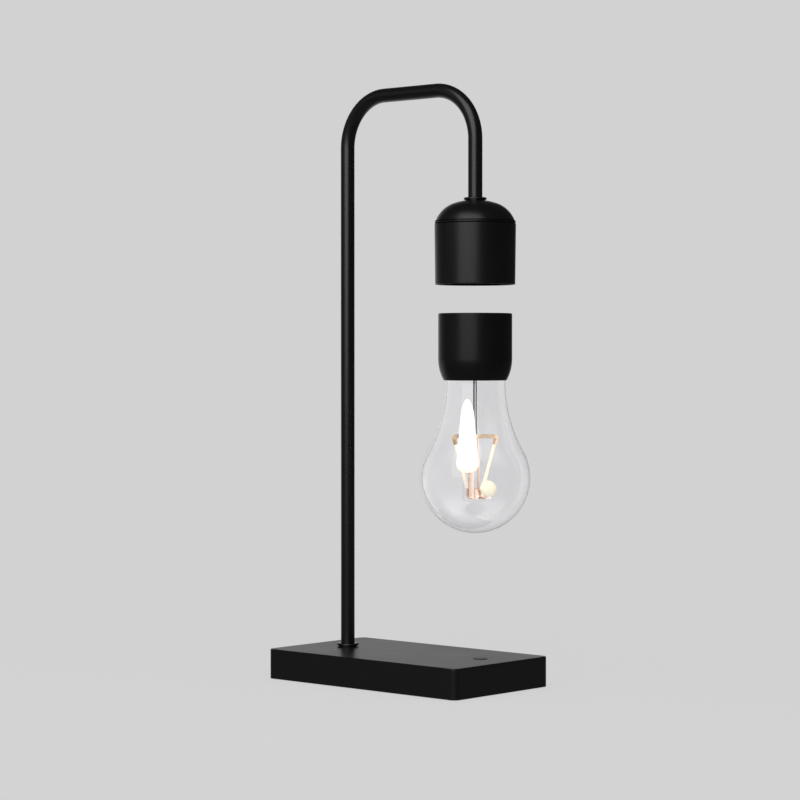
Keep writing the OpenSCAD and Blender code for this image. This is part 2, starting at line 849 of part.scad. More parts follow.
module hall_ribbon() {
  color(gold) at_bulb() translate([0, -ribbon_w / 2, pod_floor_top + board_t]) {
    translate([ribbon_x[0], 0, 0]) cube([ribbon_x[1] - ribbon_x[0], ribbon_w, ribbon_t]);
    translate([ribbon_x[1] - ribbon_t, 0, 0]) cube([ribbon_t, ribbon_w, control_z - pod_floor_top - board_t]);
  }
}

module lift_bobbin() {
  bore_r = lift_core_r + fit_gap;
  sleeve_r = bore_r + bobbin_sleeve_t;
  color(plastic_white) at_bulb() translate([0, 0, bobbin_z]) rotate_extrude()
    polygon([
      [bore_r, 0], [bobbin_flange_r, 0], [bobbin_flange_r, bobbin_flange_t], [sleeve_r, bobbin_flange_t],
      [sleeve_r, bobbin_h - bobbin_flange_t], [bobbin_flange_r, bobbin_h - bobbin_flange_t],
      [bobbin_flange_r, bobbin_h], [bore_r, bobbin_h]
    ]);
}

module lift_core() {
  color(steel) at_bulb() translate([0, 0, bobbin_z]) cylinder(r = lift_core_r, h = bobbin_h);
}

module lift_coil() {
  color(copper) at_bulb() translate([0, 0, bobbin_z + bobbin_flange_t])
    ring(lift_core_r + bobbin_sleeve_t + 2 * fit_gap, lift_coil_r, lift_coil_h);
}

module bias_magnet() {
  color(magnet_grey) at_bulb() translate([0, 0, bobbin_top]) cylinder(r = bias_magnet_r, h = bias_magnet_h);
}

module bobbin_pins() {
  color(gold) at_bulb() for (a = [0 : 90 : 270])
    rotate([0, 0, a + 45]) translate([pin_c, 0, bobbin_top]) cylinder(r = pin_r, h = control_z - bobbin_top);
}

module control_board() {
  color(board_green) at_bulb() translate([0, 0, control_z]) difference() {
    cylinder(r = control_r, h = board_t);
    at_pillars() translate([0, 0, -cut]) cylinder(r = small_screw_r + fit_gap, h = board_t + 2 * cut);
  }
}

module control_chips() {
  color(chip_grey) at_bulb() translate([0, 0, control_top]) chips(pod_chips);
}

module pod_socket() {
  color(plastic_white) at_bulb() translate([-socket_size[0] / 2, -socket_size[1] / 2, control_top])
    cube(socket_size);
}

// Floating bulb

module cap_shell() {
  foot_c = [cap_r - cap_foot_r, cap_z + cap_foot_h];
  bore_r = neck_r + fit_gap;
  color(black) at_bulb() rotate_extrude()
    polygon(concat(
      [[bore_r, cap_z]],
      arc(foot_c, cap_foot_r, asin(-cap_foot_h / cap_foot_r), 0),
      arc([cap_r - cap_edge_r, cap_top - cap_edge_r], cap_edge_r, 0, 90),
      [[lid_r + fit_gap, cap_top], [lid_r + fit_gap, lid_z], [cap_in_r, lid_z], [cap_in_r, holder_z],
        [cap_low_r, holder_z], [cap_low_r, neck_top + run_gap], [bore_r, neck_top + run_gap]]
    ));
}

module cap_lid() {
  color(black) at_bulb() translate([0, 0, lid_z]) cylinder(r = lid_r, h = lid_t);
}

module float_magnet() {
  color(magnet_grey) at_bulb() translate([0, 0, magnet_z]) cylinder(d = magnet_d, h = magnet_h);
}

module magnet_holder() {
  bore_r = magnet_d / 2 + run_gap;
  color(plastic_white) at_bulb() difference() {
    union() {
      translate([0, 0, holder_z]) cylinder(r = cap_in_r - fit_gap, h = holder_t);
      translate([0, 0, holder_z])
        cylinder(r = bore_r + holder_wall, h = lid_z - receiver_coil_t - holder_z);
      at_posts() translate([0, 0, holder_z - post_h]) cylinder(r = post_r, h = post_h + cut);
    }
    translate([0, 0, holder_z + holder_t]) cylinder(r = bore_r, h = magnet_h + 2 * magnet_headroom);
    at_posts() translate([0, 0, holder_z - post_h - cut])
      cylinder(r = small_screw_r + fit_gap, h = cut + post_screw_l + screw_past);
  }
}

module receiver_coil() {
  color(copper) at_bulb() translate([0, 0, lid_z - receiver_coil_t])
    ring(receiver_coil_r[0], receiver_coil_r[1], receiver_coil_t);
}

module receiver_board() {
  color(board_green) at_bulb() translate([0, 0, receiver_z]) difference() {
    cylinder(r = receiver_r, h = board_t);
    at_posts() translate([0, 0, -cut]) cylinder(r = small_screw_r + fit_gap, h = board_t + 2 * cut);
  }
}

module receiver_screws() {
  color(steel) at_bulb() at_posts() translate([0, 0, receiver_z - small_head_h])
    screw(small_screw_r, board_t + post_screw_l, small_head_r, small_head_h);
}

module receiver_chips() {
  color(chip_grey) at_bulb() translate([0, 0, receiver_z + board_t]) chips(cap_chips);
}

module lead_wires() {
  color(copper) at_light() for (x = [-lead_c, lead_c])
    translate([x, 0, stem_z + stem_t]) cylinder(r = lead_r, h = receiver_z - stem_z - stem_t);
}

module glass_bulb() {
  color(glass) at_bulb() rotate_extrude() polygon(concat(glass_arc(0), back(glass_arc(glass_t))));
}

// Flat glass stem sealed across the neck, with the rod that hangs from it
module bulb_stem() {
  rod_z = anchor_z - anchor_t / 2 + anchor_seat;
  color(glass) at_bulb() {
    translate([0, 0, stem_z]) cylinder(r = stem_r, h = stem_t);
    translate([0, 0, rod_z]) cylinder(r = rod_r, h = stem_z + stem_t / 2 - rod_z);
  }
}

module upper_anchor() {
  head = filament_head;
  along = (head - filament_foot) / norm(head - filament_foot);
  color(gold) at_light() difference() {
    union() {
      translate([-anchor_reach, -anchor_t / 2, anchor_z - anchor_t / 2])
        cube([2 * anchor_reach, anchor_t, anchor_t]);
      translate([0, 0, anchor_z - anchor_t / 2]) cylinder(r = anchor_hub_r, h = anchor_t);
      for (side = [0, 1]) mirror([side, 0, 0]) rod_between(head, head + clip_l * along, clip_r);
    }
    translate([0, 0, anchor_z - anchor_t / 2 + anchor_seat]) cylinder(r = rod_r + fit_gap, h = anchor_t);
  }
}

// Copper hub with the thin post, beside the axis, that carries it from the anchor
module lower_hub() {
  color(copper) at_light() {
    rotate_extrude()
      polygon([
        [0, hub_z], [hub_r - hub_edge, hub_z], [hub_r, hub_z + hub_edge], [hub_r, hub_top], [0, hub_top]
      ]);
    translate([post_shift, 0, hub_top - cut])
      cylinder(r = post_rod_r, h = anchor_z - anchor_t / 2 - hub_top + cut);
  }
}

module filaments() {
  color(light_yellow) at_light() for (side = [0, 1])
    mirror([side, 0, 0]) rod_between(filament_foot, filament_head, filament_r);
}

// Copper arms under the hub, turned up to carry the flame and the bead
module light_bracket() {
  arm_z0 = hub_z - strip_t;
  color(copper) at_light() {
    translate([0, 0, arm_z0]) cylinder(r = hub_r - hub_edge, h = strip_t);
    bracket_arm([flame_at[0] + flame_strip_shift, flame_at[1]], arm_z0, flame_z);
    bracket_arm(bead_at, arm_z0, bead_z - bead_r);
  }
}

// Arm from the hub's axis to a place, and the upright strip at its end
module bracket_arm(at, foot_z, top_z) {
  rotate([0, 0, atan2(at[1], at[0])]) translate([0, -strip_w / 2, foot_z])
    cube([norm(at) + strip_t / 2, strip_w, strip_t]);
  translate([at[0] - strip_w / 2, at[1] - strip_t / 2, foot_z]) cube([strip_w, strip_t, top_z - foot_z]);
}

// Flame light: a round foot, a straight taper to the nose, then the nose's arc to a small round tip
module flame_led() {
  foot = [flame_r - flame_foot_r, flame_foot_r];
  nose = [flame_nose_r, flame_h - flame_nose_h];
  tip = [0, flame_h - flame_tip_r];
  side = nose - foot;
  taper = atan2(side[1], side[0]) - acos(flame_foot_r / norm(side));
  out = [cos(taper), sin(taper)];
  nose_arc_r = ((nose - tip) * (nose - tip) - pow(flame_tip_r, 2)) / (2 * ((nose - tip) * out - flame_tip_r));
  nose_c = nose - nose_arc_r * out;
  tip_turn = atan2(tip[1] - nose_c[1], -nose_c[0]);
  color(light_white) at_light() translate([flame_at[0], flame_at[1], flame_z]) rotate_extrude()
    polygon(concat(
      [[0, 0]],
      arc(foot, flame_foot_r, -90, taper),
      arc(nose_c, nose_arc_r, taper, tip_turn),
      rest(arc(tip, flame_tip_r, tip_turn, 90))
    ));
}

module bead_led() {
  color(light_yellow) at_light() translate([bead_at[0], bead_at[1], bead_z]) sphere(bead_r);
}

base_housing();
bottom_plate();
base_pad();
cover_screws();
ballast_plate();
ballast_screws();
pole_bracket();
pole_nut();
pole_collar();
charging_coil();
coil_ferrite();
base_board();
board_spacers();
board_screws();
board_capacitors();
board_chips();
cable_socket();
dc_jack();
jack_pin();
tact_switch();
switch_plunger();
mode_button();
arm_tube();
arm_cable();
pod_collar();
pod_dome();
pod_nut();
pod_body();
pod_cover();
pod_screws();
power_coil();
hall_board();
hall_sensor();
hall_ribbon();
lift_bobbin();
lift_core();
lift_coil();
bias_magnet();
bobbin_pins();
control_board();
control_chips();
pod_socket();
cap_shell();
cap_lid();
float_magnet();
magnet_holder();
receiver_coil();
receiver_board();
receiver_screws();
receiver_chips();
lead_wires();
glass_bulb();
bulb_stem();
upper_anchor();
lower_hub();
filaments();
light_bracket();
flame_led();
bead_led();
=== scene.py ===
"""Looks of a levitating desk lamp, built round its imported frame.

A clear bulb floats under a black pod that hangs from a bent tube, over a flat black base.
Lengths are metres in the frame's own axes: Z up, X along the base from the pole to the bulb.
"""
import json

import bpy
import numpy as np
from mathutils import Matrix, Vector

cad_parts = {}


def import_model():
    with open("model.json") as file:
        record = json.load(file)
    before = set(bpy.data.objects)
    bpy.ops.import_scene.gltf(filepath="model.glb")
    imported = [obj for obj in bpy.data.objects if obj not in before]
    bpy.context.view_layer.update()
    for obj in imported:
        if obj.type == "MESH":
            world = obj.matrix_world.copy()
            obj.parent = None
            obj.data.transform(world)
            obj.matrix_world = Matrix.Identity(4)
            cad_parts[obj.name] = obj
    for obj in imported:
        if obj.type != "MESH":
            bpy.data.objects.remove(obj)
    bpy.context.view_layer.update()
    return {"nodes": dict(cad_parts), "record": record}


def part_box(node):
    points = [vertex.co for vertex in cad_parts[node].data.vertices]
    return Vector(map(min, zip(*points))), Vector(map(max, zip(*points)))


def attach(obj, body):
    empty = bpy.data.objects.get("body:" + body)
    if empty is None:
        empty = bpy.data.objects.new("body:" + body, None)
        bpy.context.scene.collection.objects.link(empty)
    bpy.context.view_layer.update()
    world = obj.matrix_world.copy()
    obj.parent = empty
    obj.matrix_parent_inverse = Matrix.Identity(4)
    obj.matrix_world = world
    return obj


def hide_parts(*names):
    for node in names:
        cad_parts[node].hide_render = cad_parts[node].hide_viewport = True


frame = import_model()
MM = 0.001


def tone(level):
    """Linear value of an 8-bit screen level."""
    share = level / 255
    return share / 12.92 if share <= 0.04045 else ((share + 0.055) / 1.055) ** 2.4


def grey(level):
    """Neutral colour of an 8-bit screen level."""
    return (tone(level), tone(level), tone(level), 1)


# Camera: where it stands, the way it looks, and its focal length in pixels of the 800-pixel frame
FRAME_PX = 800
FOCAL_PX = 2510.33
SENSOR = 36
VIEW_FAR = 100
CAMERA_AT = Vector((1193.77, -1330.634, 234.677)) * MM
CAMERA_YAW = np.radians(42.047)
CAMERA_PITCH = np.radians(1.046)
AWAY = Vector((-np.sin(CAMERA_YAW), np.cos(CAMERA_YAW), 0))
RIGHT = Vector((np.cos(CAMERA_YAW), np.sin(CAMERA_YAW), 0))

# Places taken from the frame: lowest and highest corners
base_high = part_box("base_housing")[1]
dome_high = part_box("pod_dome")[1]
nut_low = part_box("pod_nut")[0]
tube_low, tube_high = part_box("arm_tube")
pod_low, pod_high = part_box("pod_body")
cover_low, cover_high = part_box("pod_cover")
cap_low, cap_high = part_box("cap_shell")
lid_low, lid_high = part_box("cap_lid")
glass_low, glass_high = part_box("glass_bulb")
stem_low, stem_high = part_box("bulb_stem")
hub_low, hub_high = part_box("lower_hub")
anchor_low, anchor_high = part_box("upper_anchor")
flame_low, flame_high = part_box("flame_led")
bead_low, bead_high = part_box("bead_led")
button_low, button_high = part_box("mode_button")
plate_low, plate_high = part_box("bottom_plate")
pin_low, pin_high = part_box("jack_pin")
TUBE_R = tube_high.y
POLE = (tube_low.x + TUBE_R, 0.0)
BULB = (tube_high.x - TUBE_R, 0.0)
ARM_Z = tube_high.z - TUBE_R

# Points round a turn
TURN_FINE = 128
TURN_MEDIUM = 64
TURN_COARSE = 48
TURN_SMALL = 24

# Clearance between pieces that touch, and the radius of a small broken edge
FIT = 0.1 * MM
BREAK_R = 0.2 * MM

# Outlines

SIDE_SHARE = 0.45


def bow(centre, radius, start, end, steps=16):
    """Arc: centre plus radius times (cos a, sin a), with a in even steps from start to end, in degrees."""
    a = np.radians(np.linspace(start, end, steps + 1))
    return np.column_stack((centre[0] + radius * np.cos(a), centre[1] + radius * np.sin(a)))


def soften(points, radius, closed=False, steps=6):
    """Outline with each corner traded for an arc of the given radius that touches both its sides.
    The arc starts and ends radius / tan(half the corner's angle) from the corner, and never
    further than SIDE_SHARE of a side. An open outline keeps its two ends."""
    points = np.asarray(points, float)
    count = len(points)
    radii = np.broadcast_to(np.asarray(radius, float), (count,))
    made = []
    for i in range(count):
        corner = points[i]
        if not closed and i in (0, count - 1) or radii[i] == 0:
            made.append(corner[None])
            continue
        back, ahead = points[i - 1] - corner, points[(i + 1) % count] - corner
        back_l, ahead_l = np.linalg.norm(back), np.linalg.norm(ahead)
        back, ahead = back / back_l, ahead / ahead_l
        half = np.arccos(np.clip(back @ ahead, -1, 1)) / 2
        reach = min(radii[i] / np.tan(half), SIDE_SHARE * back_l, SIDE_SHARE * ahead_l)
        share = np.linspace(-1, 1, steps + 1)[:, None] * (np.pi / 2 - half)
        middle = (back + ahead) / np.linalg.norm(back + ahead)
        across = (ahead - back) / np.linalg.norm(ahead - back)
        r = reach * np.tan(half)
        turned = across * np.sin(share) - middle * np.cos(share)
        made.append(corner + middle * (r / np.sin(half)) + r * turned)
    return np.concatenate(made)


def held(line, near=0.3 * MM, long_run=2.4 * MM):
    """Line with a point added near both ends of each long straight run, so that the run's own direction
    holds along it when its corners are shaded smooth. The order keeps the new points inside their run."""
    line = np.asarray(line, float)
    step = np.diff(line, axis=0)
    length = np.linalg.norm(step, axis=1, keepdims=True)
    long = length[:, 0] > long_run
    hold = near * step[long] / length[long]
    made = np.concatenate((line, line[:-1][long] + hold, line[1:][long] - hold))
    runs = np.flatnonzero(long)
    return made[np.argsort(np.concatenate((np.arange(len(line)), runs + 0.3, runs + 0.7)))]


# Surfaces: each gives its points as rows by columns

def spun(outline, axis=BULB, around=96):
    """Surface of revolution: outline point (r, z) goes to (x + r cos t, y + r sin t, z), t round a turn."""
    t = np.linspace(0, 2 * np.pi, around, endpoint=False)
    outline = held(outline)
    r, z = outline[:, :1], outline[:, 1:]
    return np.stack((axis[0] + r * np.cos(t), axis[1] + r * np.sin(t), z + 0 * t), axis=-1)


def boxed(rows, half, corner_r, arc_steps=8):
    """Stack of rounded rectangles: row (inset, z) is the rectangle of half sizes minus inset, whose corner
    arcs have corner_r minus inset, or none where that is negative. An inset of half the width is a point."""
    t = np.concatenate([np.linspace(q, q + 0.5 * np.pi, arc_steps + 1) for q in 0.5 * np.pi * np.arange(4)])
    side_x = np.repeat([1, -1, -1, 1], arc_steps + 1)
    side_y = np.repeat([1, 1, -1, -1], arc_steps + 1)
    rows = held(rows)
    inset, z = rows[:, :1], rows[:, 1:]
    r = np.maximum(corner_r - inset, 0)
    x = side_x * np.maximum(half[0] - inset - r, 0) + r * np.cos(t)
    y = side_y * np.maximum(half[1] - inset - r, 0) + r * np.sin(t)
    return np.stack((x, y, z + 0 * t), axis=-1)


def swept(path, section, side=(0, 1, 0)):
    """Section (across, along side) carried along a path that lies square to side: path point p goes to
    p + across * (side x tangent) + along * side, with tangents by central differences."""
    path, side = np.asarray(path, float), np.asarray(side, float)
    tangent = np.gradient(path, axis=0)
    tangent /= np.linalg.norm(tangent, axis=1, keepdims=True)
    across = np.cross(side, tangent)
    return path[:, None] + section[None, :, :1] * across[:, None] + section[None, :, 1:] * side


def round_section(radius, around=32):
    """Circle as section points."""
    t = np.linspace(0, 2 * np.pi, around, endpoint=False)
    return radius * np.column_stack((np.cos(t), np.sin(t)))


def capped(grid):
    """Grid with a middle point added before its first row and after its last one, so that both ends close."""
    ends = grid[[0, -1]].mean(axis=1, keepdims=True) + 0 * grid[[0, -1]]
    return np.concatenate((ends[:1], grid, ends[1:]))


def walled(outer, inner):
    """Outer rows followed by the inner rows backwards: a wall that closes on itself."""
    return np.concatenate((outer, inner[::-1]))


# Meshes

SHARP_ANGLE = np.radians(35)
SQUARE = 0.99999


def woven(grid, ring):
    """Points and faces of a grid whose columns close on themselves, and whose rows do too if ring is true.
    Face (i, j) joins (i, j), (i, j + 1), (i + 1, j + 1) and (i + 1, j). Points closer than a tenth of a
    micrometre are one, and the faces turn outwards: their signed volume is positive."""
    rows, columns = grid.shape[:2]
    index = np.arange(rows * columns).reshape(rows, columns)
    here, below = (index, np.roll(index, -1, 0)) if ring else (index[:-1], index[1:])
    quads = np.stack((here, np.roll(here, -1, 1), np.roll(below, -1, 1), below), -1).reshape(-1, 4)
    points, place = np.unique(np.round(grid.reshape(-1, 3), 7), axis=0, return_inverse=True)
    quads = place.reshape(-1)[quads]
    a, b, c, d = (points[quads[:, k]] for k in range(4))
    volume = np.sum(np.cross(a, b) * c) + np.sum(np.cross(a, c) * d)
    return points, quads if volume > 0 else quads[:, ::-1]


def mesh_of(name, parts):
    """One mesh of several (grid, ring) parts. A quad that has lost a corner to a pole becomes a triangle."""
    points, quads, start = [], [], 0
    for grid, ring in parts:
        part_points, part_quads = woven(grid, ring)
        points.append(part_points)
        quads.append(part_quads + start)
        start += len(part_points)
    quads = np.concatenate(quads)
    kept = quads != np.roll(quads, 1, axis=1)
    corners = kept.sum(axis=1)
    triangles = quads[corners == 3][kept[corners == 3]].reshape(-1, 3)
    mesh = bpy.data.meshes.new(name)
    mesh.from_pydata(np.concatenate(points), [], quads[corners == 4].tolist() + triangles.tolist())
    mesh.shade_smooth()
    mesh.set_sharp_from_angle(angle=SHARP_ANGLE)
    return mesh


def shown(name, mesh):
    """Object of a mesh, at the origin."""
    made = bpy.data.objects.new(name, mesh)
    bpy.context.scene.collection.objects.link(made)
    return made


def piece(name, parts, body, slot, finish_name, *nodes):
    """Piece of the lamp with a finish: rides on a body and stands for the CAD nodes. Its slot is not used."""
    made = shown(name, mesh_of(name, parts))
    made.data.materials.append(FINISHES[finish_name])
    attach(made, body)
    if nodes:
        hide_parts(*nodes)
    return made


def carve(made, *cutters):
    """Takes each cutter's space out of a piece, and the cutters out of the scene. Faces square to an axis are
    shaded flat, so that the holes' round mouths don't tilt them."""
    for cutter in cutters:
        bite = made.modifiers.new("bite", "BOOLEAN")
        bite.object = cutter
        bite.operation = "DIFFERENCE"
        bite.solver = "EXACT"
    carved = bpy.data.meshes.new_from_object(made.evaluated_get(bpy.context.evaluated_depsgraph_get()))
    made.modifiers.clear()
    made.data = carved
    carved.set_sharp_from_angle(angle=SHARP_ANGLE)
    normals = np.zeros(3 * len(carved.polygons), np.float32)
    carved.polygons.foreach_get("normal", normals)
    square = np.abs(normals.reshape(-1, 3)).max(axis=1) > SQUARE
    carved.polygons.foreach_set("use_smooth", ~square)
    for cutter in cutters:
        bpy.data.objects.remove(cutter)


# Shader maths

class Value:
    """A shader socket that takes part in Python arithmetic: each operator adds one Math node."""

    def __init__(self, tree, socket):
        self.tree, self.socket = tree, socket

    def _math(self, operation, a, b):
        return self.tree.node("ShaderNodeMath", {"operation": operation}, [a, b])

    def __add__(self, other):
        return self._math("ADD", self, other)

    def __radd__(self, other):
        return self._math("ADD", other, self)

    def __sub__(self, other):
        return self._math("SUBTRACT", self, other)

    def __rsub__(self, other):
        return self._math("SUBTRACT", other, self)

    def __mul__(self, other):
        return self._math("MULTIPLY", self, other)

    def __rmul__(self, other):
        return self._math("MULTIPLY", other, self)


class Tree:
    """Node tree of a material or the world."""

    def __init__(self, owner, output):
        owner.use_nodes = True
        self.nodes, self.links = owner.node_tree.nodes, owner.node_tree.links
        self.nodes.clear()
        self.output = self.nodes.new(output)

    def node(self, kind, settings=None, inputs=(), output=0):
        """Any node: its settings are set first, then its sockets get values or links."""
        made = self.nodes.new(kind)
        for key, value in (settings or {}).items():
            setattr(made, key, value)
        for key, value in inputs.items() if isinstance(inputs, dict) else enumerate(inputs):
            if isinstance(value, Value):
                self.links.new(value.socket, made.inputs[key])
            else:
                made.inputs[key].default_value = value
        return Value(self, made.outputs[output])

    def place(self, scale=(1, 1, 1), turn=(0, 0, 0), shift=(0, 0, 0)):
        """Object coordinates, shifted, turned and scaled."""
        spot = self.node("ShaderNodeTexCoord", output=3)
        return self.node("ShaderNodeMapping", inputs={0: spot, 1: shift, 2: turn, 3: scale})

    def noise(self, scale, detail=3, place=None):
        """Noise from 0 to 1, with its scale per metre."""
        return self.node("ShaderNodeTexNoise", inputs={0: place or self.place(), 2: scale, 3: detail})

    def mix(self, share, first, second):
        """Colour between two colours."""
        return self.node("ShaderNodeMix", {"data_type": "RGBA"}, {0: share, 6: first, 7: second}, output=2)

    def ramp(self, share, low, high):
        """Share stretched so that low becomes 0 and high becomes 1, held at both ends."""
        return self.node("ShaderNodeMapRange", inputs={0: share, 1: low, 2: high})

    def bump(self, height, distance, strength=1):
        """Normal of a surface raised by height times distance."""
        sockets = {"Strength": strength, "Distance": distance, "Height": height}
        return self.node("ShaderNodeBump", inputs=sockets)

    def mirrored(self):
        """1 for rays that were mirrored on their way, 0 for the others."""
        return self.ramp(self.node("ShaderNodeLightPath", output="Glossy Depth"), 0, 1)

    def end(self, shader):
        """Makes a shader the tree's surface."""
        self.links.new(shader.socket, self.output.inputs["Surface"])


def rays(tree, *kinds):
    """1 for the named kinds of ray, 0 for the others."""
    found = [tree.node("ShaderNodeLightPath", output=f"Is {kind} Ray") for kind in kinds]
    return sum(found[1:], found[0])


def finish(name, build, lets_light_by=False, **constants):
    """Material with one Principled shader: build(tree) gives the sockets that vary, constants the rest.
    One that lets light by is clear to shadow rays, so that glass casts no solid shadow, and to rays that were
    mirrored outside it, so that the pole doesn't mirror it as a bright blot."""
    made = bpy.data.materials.new(name)
    tree = Tree(made, "ShaderNodeOutputMaterial")
    sockets = {key.replace("_", " "): value for key, value in constants.items()}
    sockets.update(build(tree))
    shader = tree.node("ShaderNodeBsdfPrincipled", inputs=sockets)
    if lets_light_by:
        passed = tree.ramp(tree.node("ShaderNodeLightPath", output="Transmission Depth"), 0, 1)
        clear = rays(tree, "Shadow") + rays(tree, "Glossy") * (1 - passed)
        nothing = tree.node("ShaderNodeBsdfTransparent")
        shader = tree.node("ShaderNodeMixShader", inputs=[clear, shader, nothing])
    tree.end(shader)
    return made


# Finishes

UNLIT = (0, 0, 0, 1)
LACK_OF_GREEN = (1, 0.96, 1, 1)
WARM_FOOT = 0.3
END_GLOW = 0.7


def moulded_black(tree):
    """Spark-eroded black plastic: soft cloudy tone, fine grain in gloss and height."""
    cloud = tree.noise(35)
    grain = tree.noise(2600, 2)
    return {
        "Base Color": tree.mix(cloud, (0.0026, 0.0024, 0.0028, 1), (0.004, 0.0036, 0.0043, 1)),
        "Roughness": 0.29 + 0.05 * cloud + 0.04 * grain,
        "Normal": tree.bump(grain, 0.02 * MM, 0.5),
    }


def tube_lacquer(tree):
    """Black lacquer on steel tube, with a faint orange peel."""
    peel = tree.noise(420, 2)
    cloud = tree.noise(60)
    return {
        "Base Color": tree.mix(cloud, (0.0026, 0.0025, 0.0027, 1), (0.004, 0.0038, 0.0041, 1)),
        "Roughness": 0.24 + 0.05 * cloud + 0.03 * peel,
        "Normal": tree.bump(peel, 0.01 * MM, 0.2),
    }


def brushed_steel(tree):
    """Rolled steel with fine lines along X."""
    lines = tree.noise(900, 4, tree.place((0.03, 1, 1)))
    stain = tree.noise(40)
    return {
        "Base Color": tree.mix(stain, (0.5, 0.51, 0.53, 1), (0.62, 0.62, 0.63, 1)),
        "Roughness": 0.28 + 0.2 * lines,
        "Normal": tree.bump(lines, 0.01 * MM, 0.6),
    }


def rubber_pad(tree):
    """Black rubber with dust in its pores."""
    pores = tree.node("ShaderNodeTexVoronoi", inputs={0: tree.place(), 2: 900})
    dust = tree.noise(300, 5)
    return {
        "Base Color": tree.mix(tree.ramp(dust, 0.5, 0.8), (0.012, 0.012, 0.012, 1), (0.035, 0.034, 0.032, 1)),
        "Roughness": 0.78 + 0.15 * dust,
        "Normal": tree.bump(pores, 0.05 * MM, 0.6),
    }


def copper_winding(tree):
    """Enamelled copper wire, its turns as fine round ridges along Z and outwards."""
    turns = tree.node("ShaderNodeTexWave", {"bands_direction": "Z"}, {0: tree.place(), 1: 600, 2: 0.4})
    blotch = tree.noise(150)
    return {
        "Base Color": tree.mix(blotch, (0.5, 0.17, 0.07, 1), (0.72, 0.3, 0.14, 1)),
        "Roughness": 0.25 + 0.25 * turns,
        "Normal": tree.bump(turns, 0.15 * MM),
    }


def copper_sheet(tree):
    """Bare copper, warm and slightly tarnished."""
    tarnish = tree.noise(260, 4)
    lines = tree.noise(1500, 2, tree.place((1, 1, 0.08)))
    return {
        "Base Color": tree.mix(tarnish, (0.9, 0.63, 0.49, 1), (0.98, 0.78, 0.66, 1)),
        "Roughness": 0.26 + 0.18 * lines,
        "Normal": tree.bump(lines, 0.008 * MM, 0.5),
    }


def gold_plate(tree):
    """Gold-plated strip, browned by heat in patches."""
    heat = tree.noise(420, 4)
    return {
        "Base Color": tree.mix(tree.ramp(heat, 0.35, 0.7), (0.78, 0.62, 0.43, 1), (0.5, 0.33, 0.2, 1)),
        "Roughness": 0.24 + 0.2 * heat,
        "Normal": tree.bump(heat, 0.01 * MM, 0.4),
    }


def gold_painted_glow(tree):
    """The gold plate of the anchor, whose two ends have a painted glow: emission that stands in for the light
    of the strands' tops.
    """
    out = tree.place((1, 1, 0), shift=(-BULB[0], -BULB[1], 0))
    far = tree.node("ShaderNodeVectorMath", {"operation": "LENGTH"}, [out], output=1)
    reach = (anchor_high - anchor_low).xy.length / 2
    # painted glow: the ends emit warm light as if lit by the strands
    glow = tree.ramp(far, END_GLOW * reach, reach)
    return {**gold_plate(tree), "Emission Color": tree.mix(glow, UNLIT, (1, 0.6, 0.22, 1))}


def ferrite(tree):
    """Pressed ferrite: dark grey with a sparkle of grains."""
    grains = tree.node("ShaderNodeTexVoronoi", inputs={0: tree.place(), 2: 1800}, output=1)
    return {
        "Base Color": tree.mix(0.25, (0.06, 0.06, 0.065, 1), grains),
        "Roughness": 0.5 + 0.2 * tree.noise(700),
        "Normal": tree.bump(tree.noise(1200), 0.02 * MM, 0.5),
    }


def nickel(tree):
    """Bright nickel with hairline scratches."""
    scratch = tree.noise(600, 5, tree.place((1, 0.04, 1), (0, 0, 0.6)))
    return {
        "Base Color": tree.mix(scratch, (0.62, 0.61, 0.58, 1), (0.72, 0.71, 0.68, 1)),
        "Roughness": 0.12 + 0.18 * scratch,
        "Normal": tree.bump(scratch, 0.004 * MM, 0.5),
    }


def dark_nickel(tree):
    """Oxidised nickel wire."""
    oxide = tree.noise(500, 4)
    return {
        "Base Color": tree.mix(oxide, (0.015, 0.0145, 0.014, 1), (0.04, 0.038, 0.036, 1)),
        "Roughness": 0.3 + 0.2 * oxide,
        "Normal": tree.bump(oxide, 0.01 * MM, 0.5),
    }


def circuit_board(tree):
    """Green solder mask over a mesh of copper tracks."""
    tracks = tree.node("ShaderNodeTexBrick", inputs={
        0: tree.place(), 1: (1, 1, 1, 1), 2: (1, 1, 1, 1), 3: (0, 0, 0, 1),
        "Scale": 260.0, "Mortar Size": 0.06,
    })
    weave = tree.noise(1400, 2)
    lifted = tree.ramp(tracks, 0, 1)
    return {
        "Base Color": tree.mix(lifted, (0.02, 0.13, 0.05, 1), (0.008, 0.07, 0.028, 1)),
        "Roughness": 0.25 + 0.15 * weave,
        "Normal": tree.bump(1 - lifted, 0.04 * MM, 0.5),
    }


def component_black(tree):
    """Black moulding compound, with a matt speckle."""
    speckle = tree.noise(1600, 3)
    pale = tree.ramp(speckle, 0.45, 0.75)
    return {
        "Base Color": tree.mix(pale, (0.014, 0.014, 0.015, 1), (0.04, 0.04, 0.042, 1)),
        "Roughness": 0.5 + 0.25 * speckle,
        "Normal": tree.bump(speckle, 0.02 * MM, 0.5),
    }


def white_nylon(tree):
    """Moulded nylon, slightly cloudy."""
    cloud = tree.noise(120, 3)
    return {
        "Base Color": tree.mix(cloud, (0.72, 0.71, 0.67, 1), (0.82, 0.81, 0.78, 1)),
        "Roughness": 0.35 + 0.15 * cloud,
        "Normal": tree.bump(tree.noise(900), 0.02 * MM, 0.3),
    }


def phosphor(tree):
    """Yellow phosphor coat over a row of light chips, which mirrors see without its glow."""
    chips = tree.node("ShaderNodeTexWave", {"bands_direction": "Z"}, {0: tree.place(), 1: 220, 2: 0.6})
    glow = tree.mix(chips, (1, 0.92, 0.64, 1), (1, 0.95, 0.74, 1))
    return {
        "Base Color": tree.mix(chips, (0.88, 0.8, 0.6, 1), (0.95, 0.88, 0.72, 1)),
        "Emission Color": tree.mix(tree.mirrored(), glow, UNLIT),
        "Roughness": 0.4 + 0.2 * tree.noise(1200),
    }


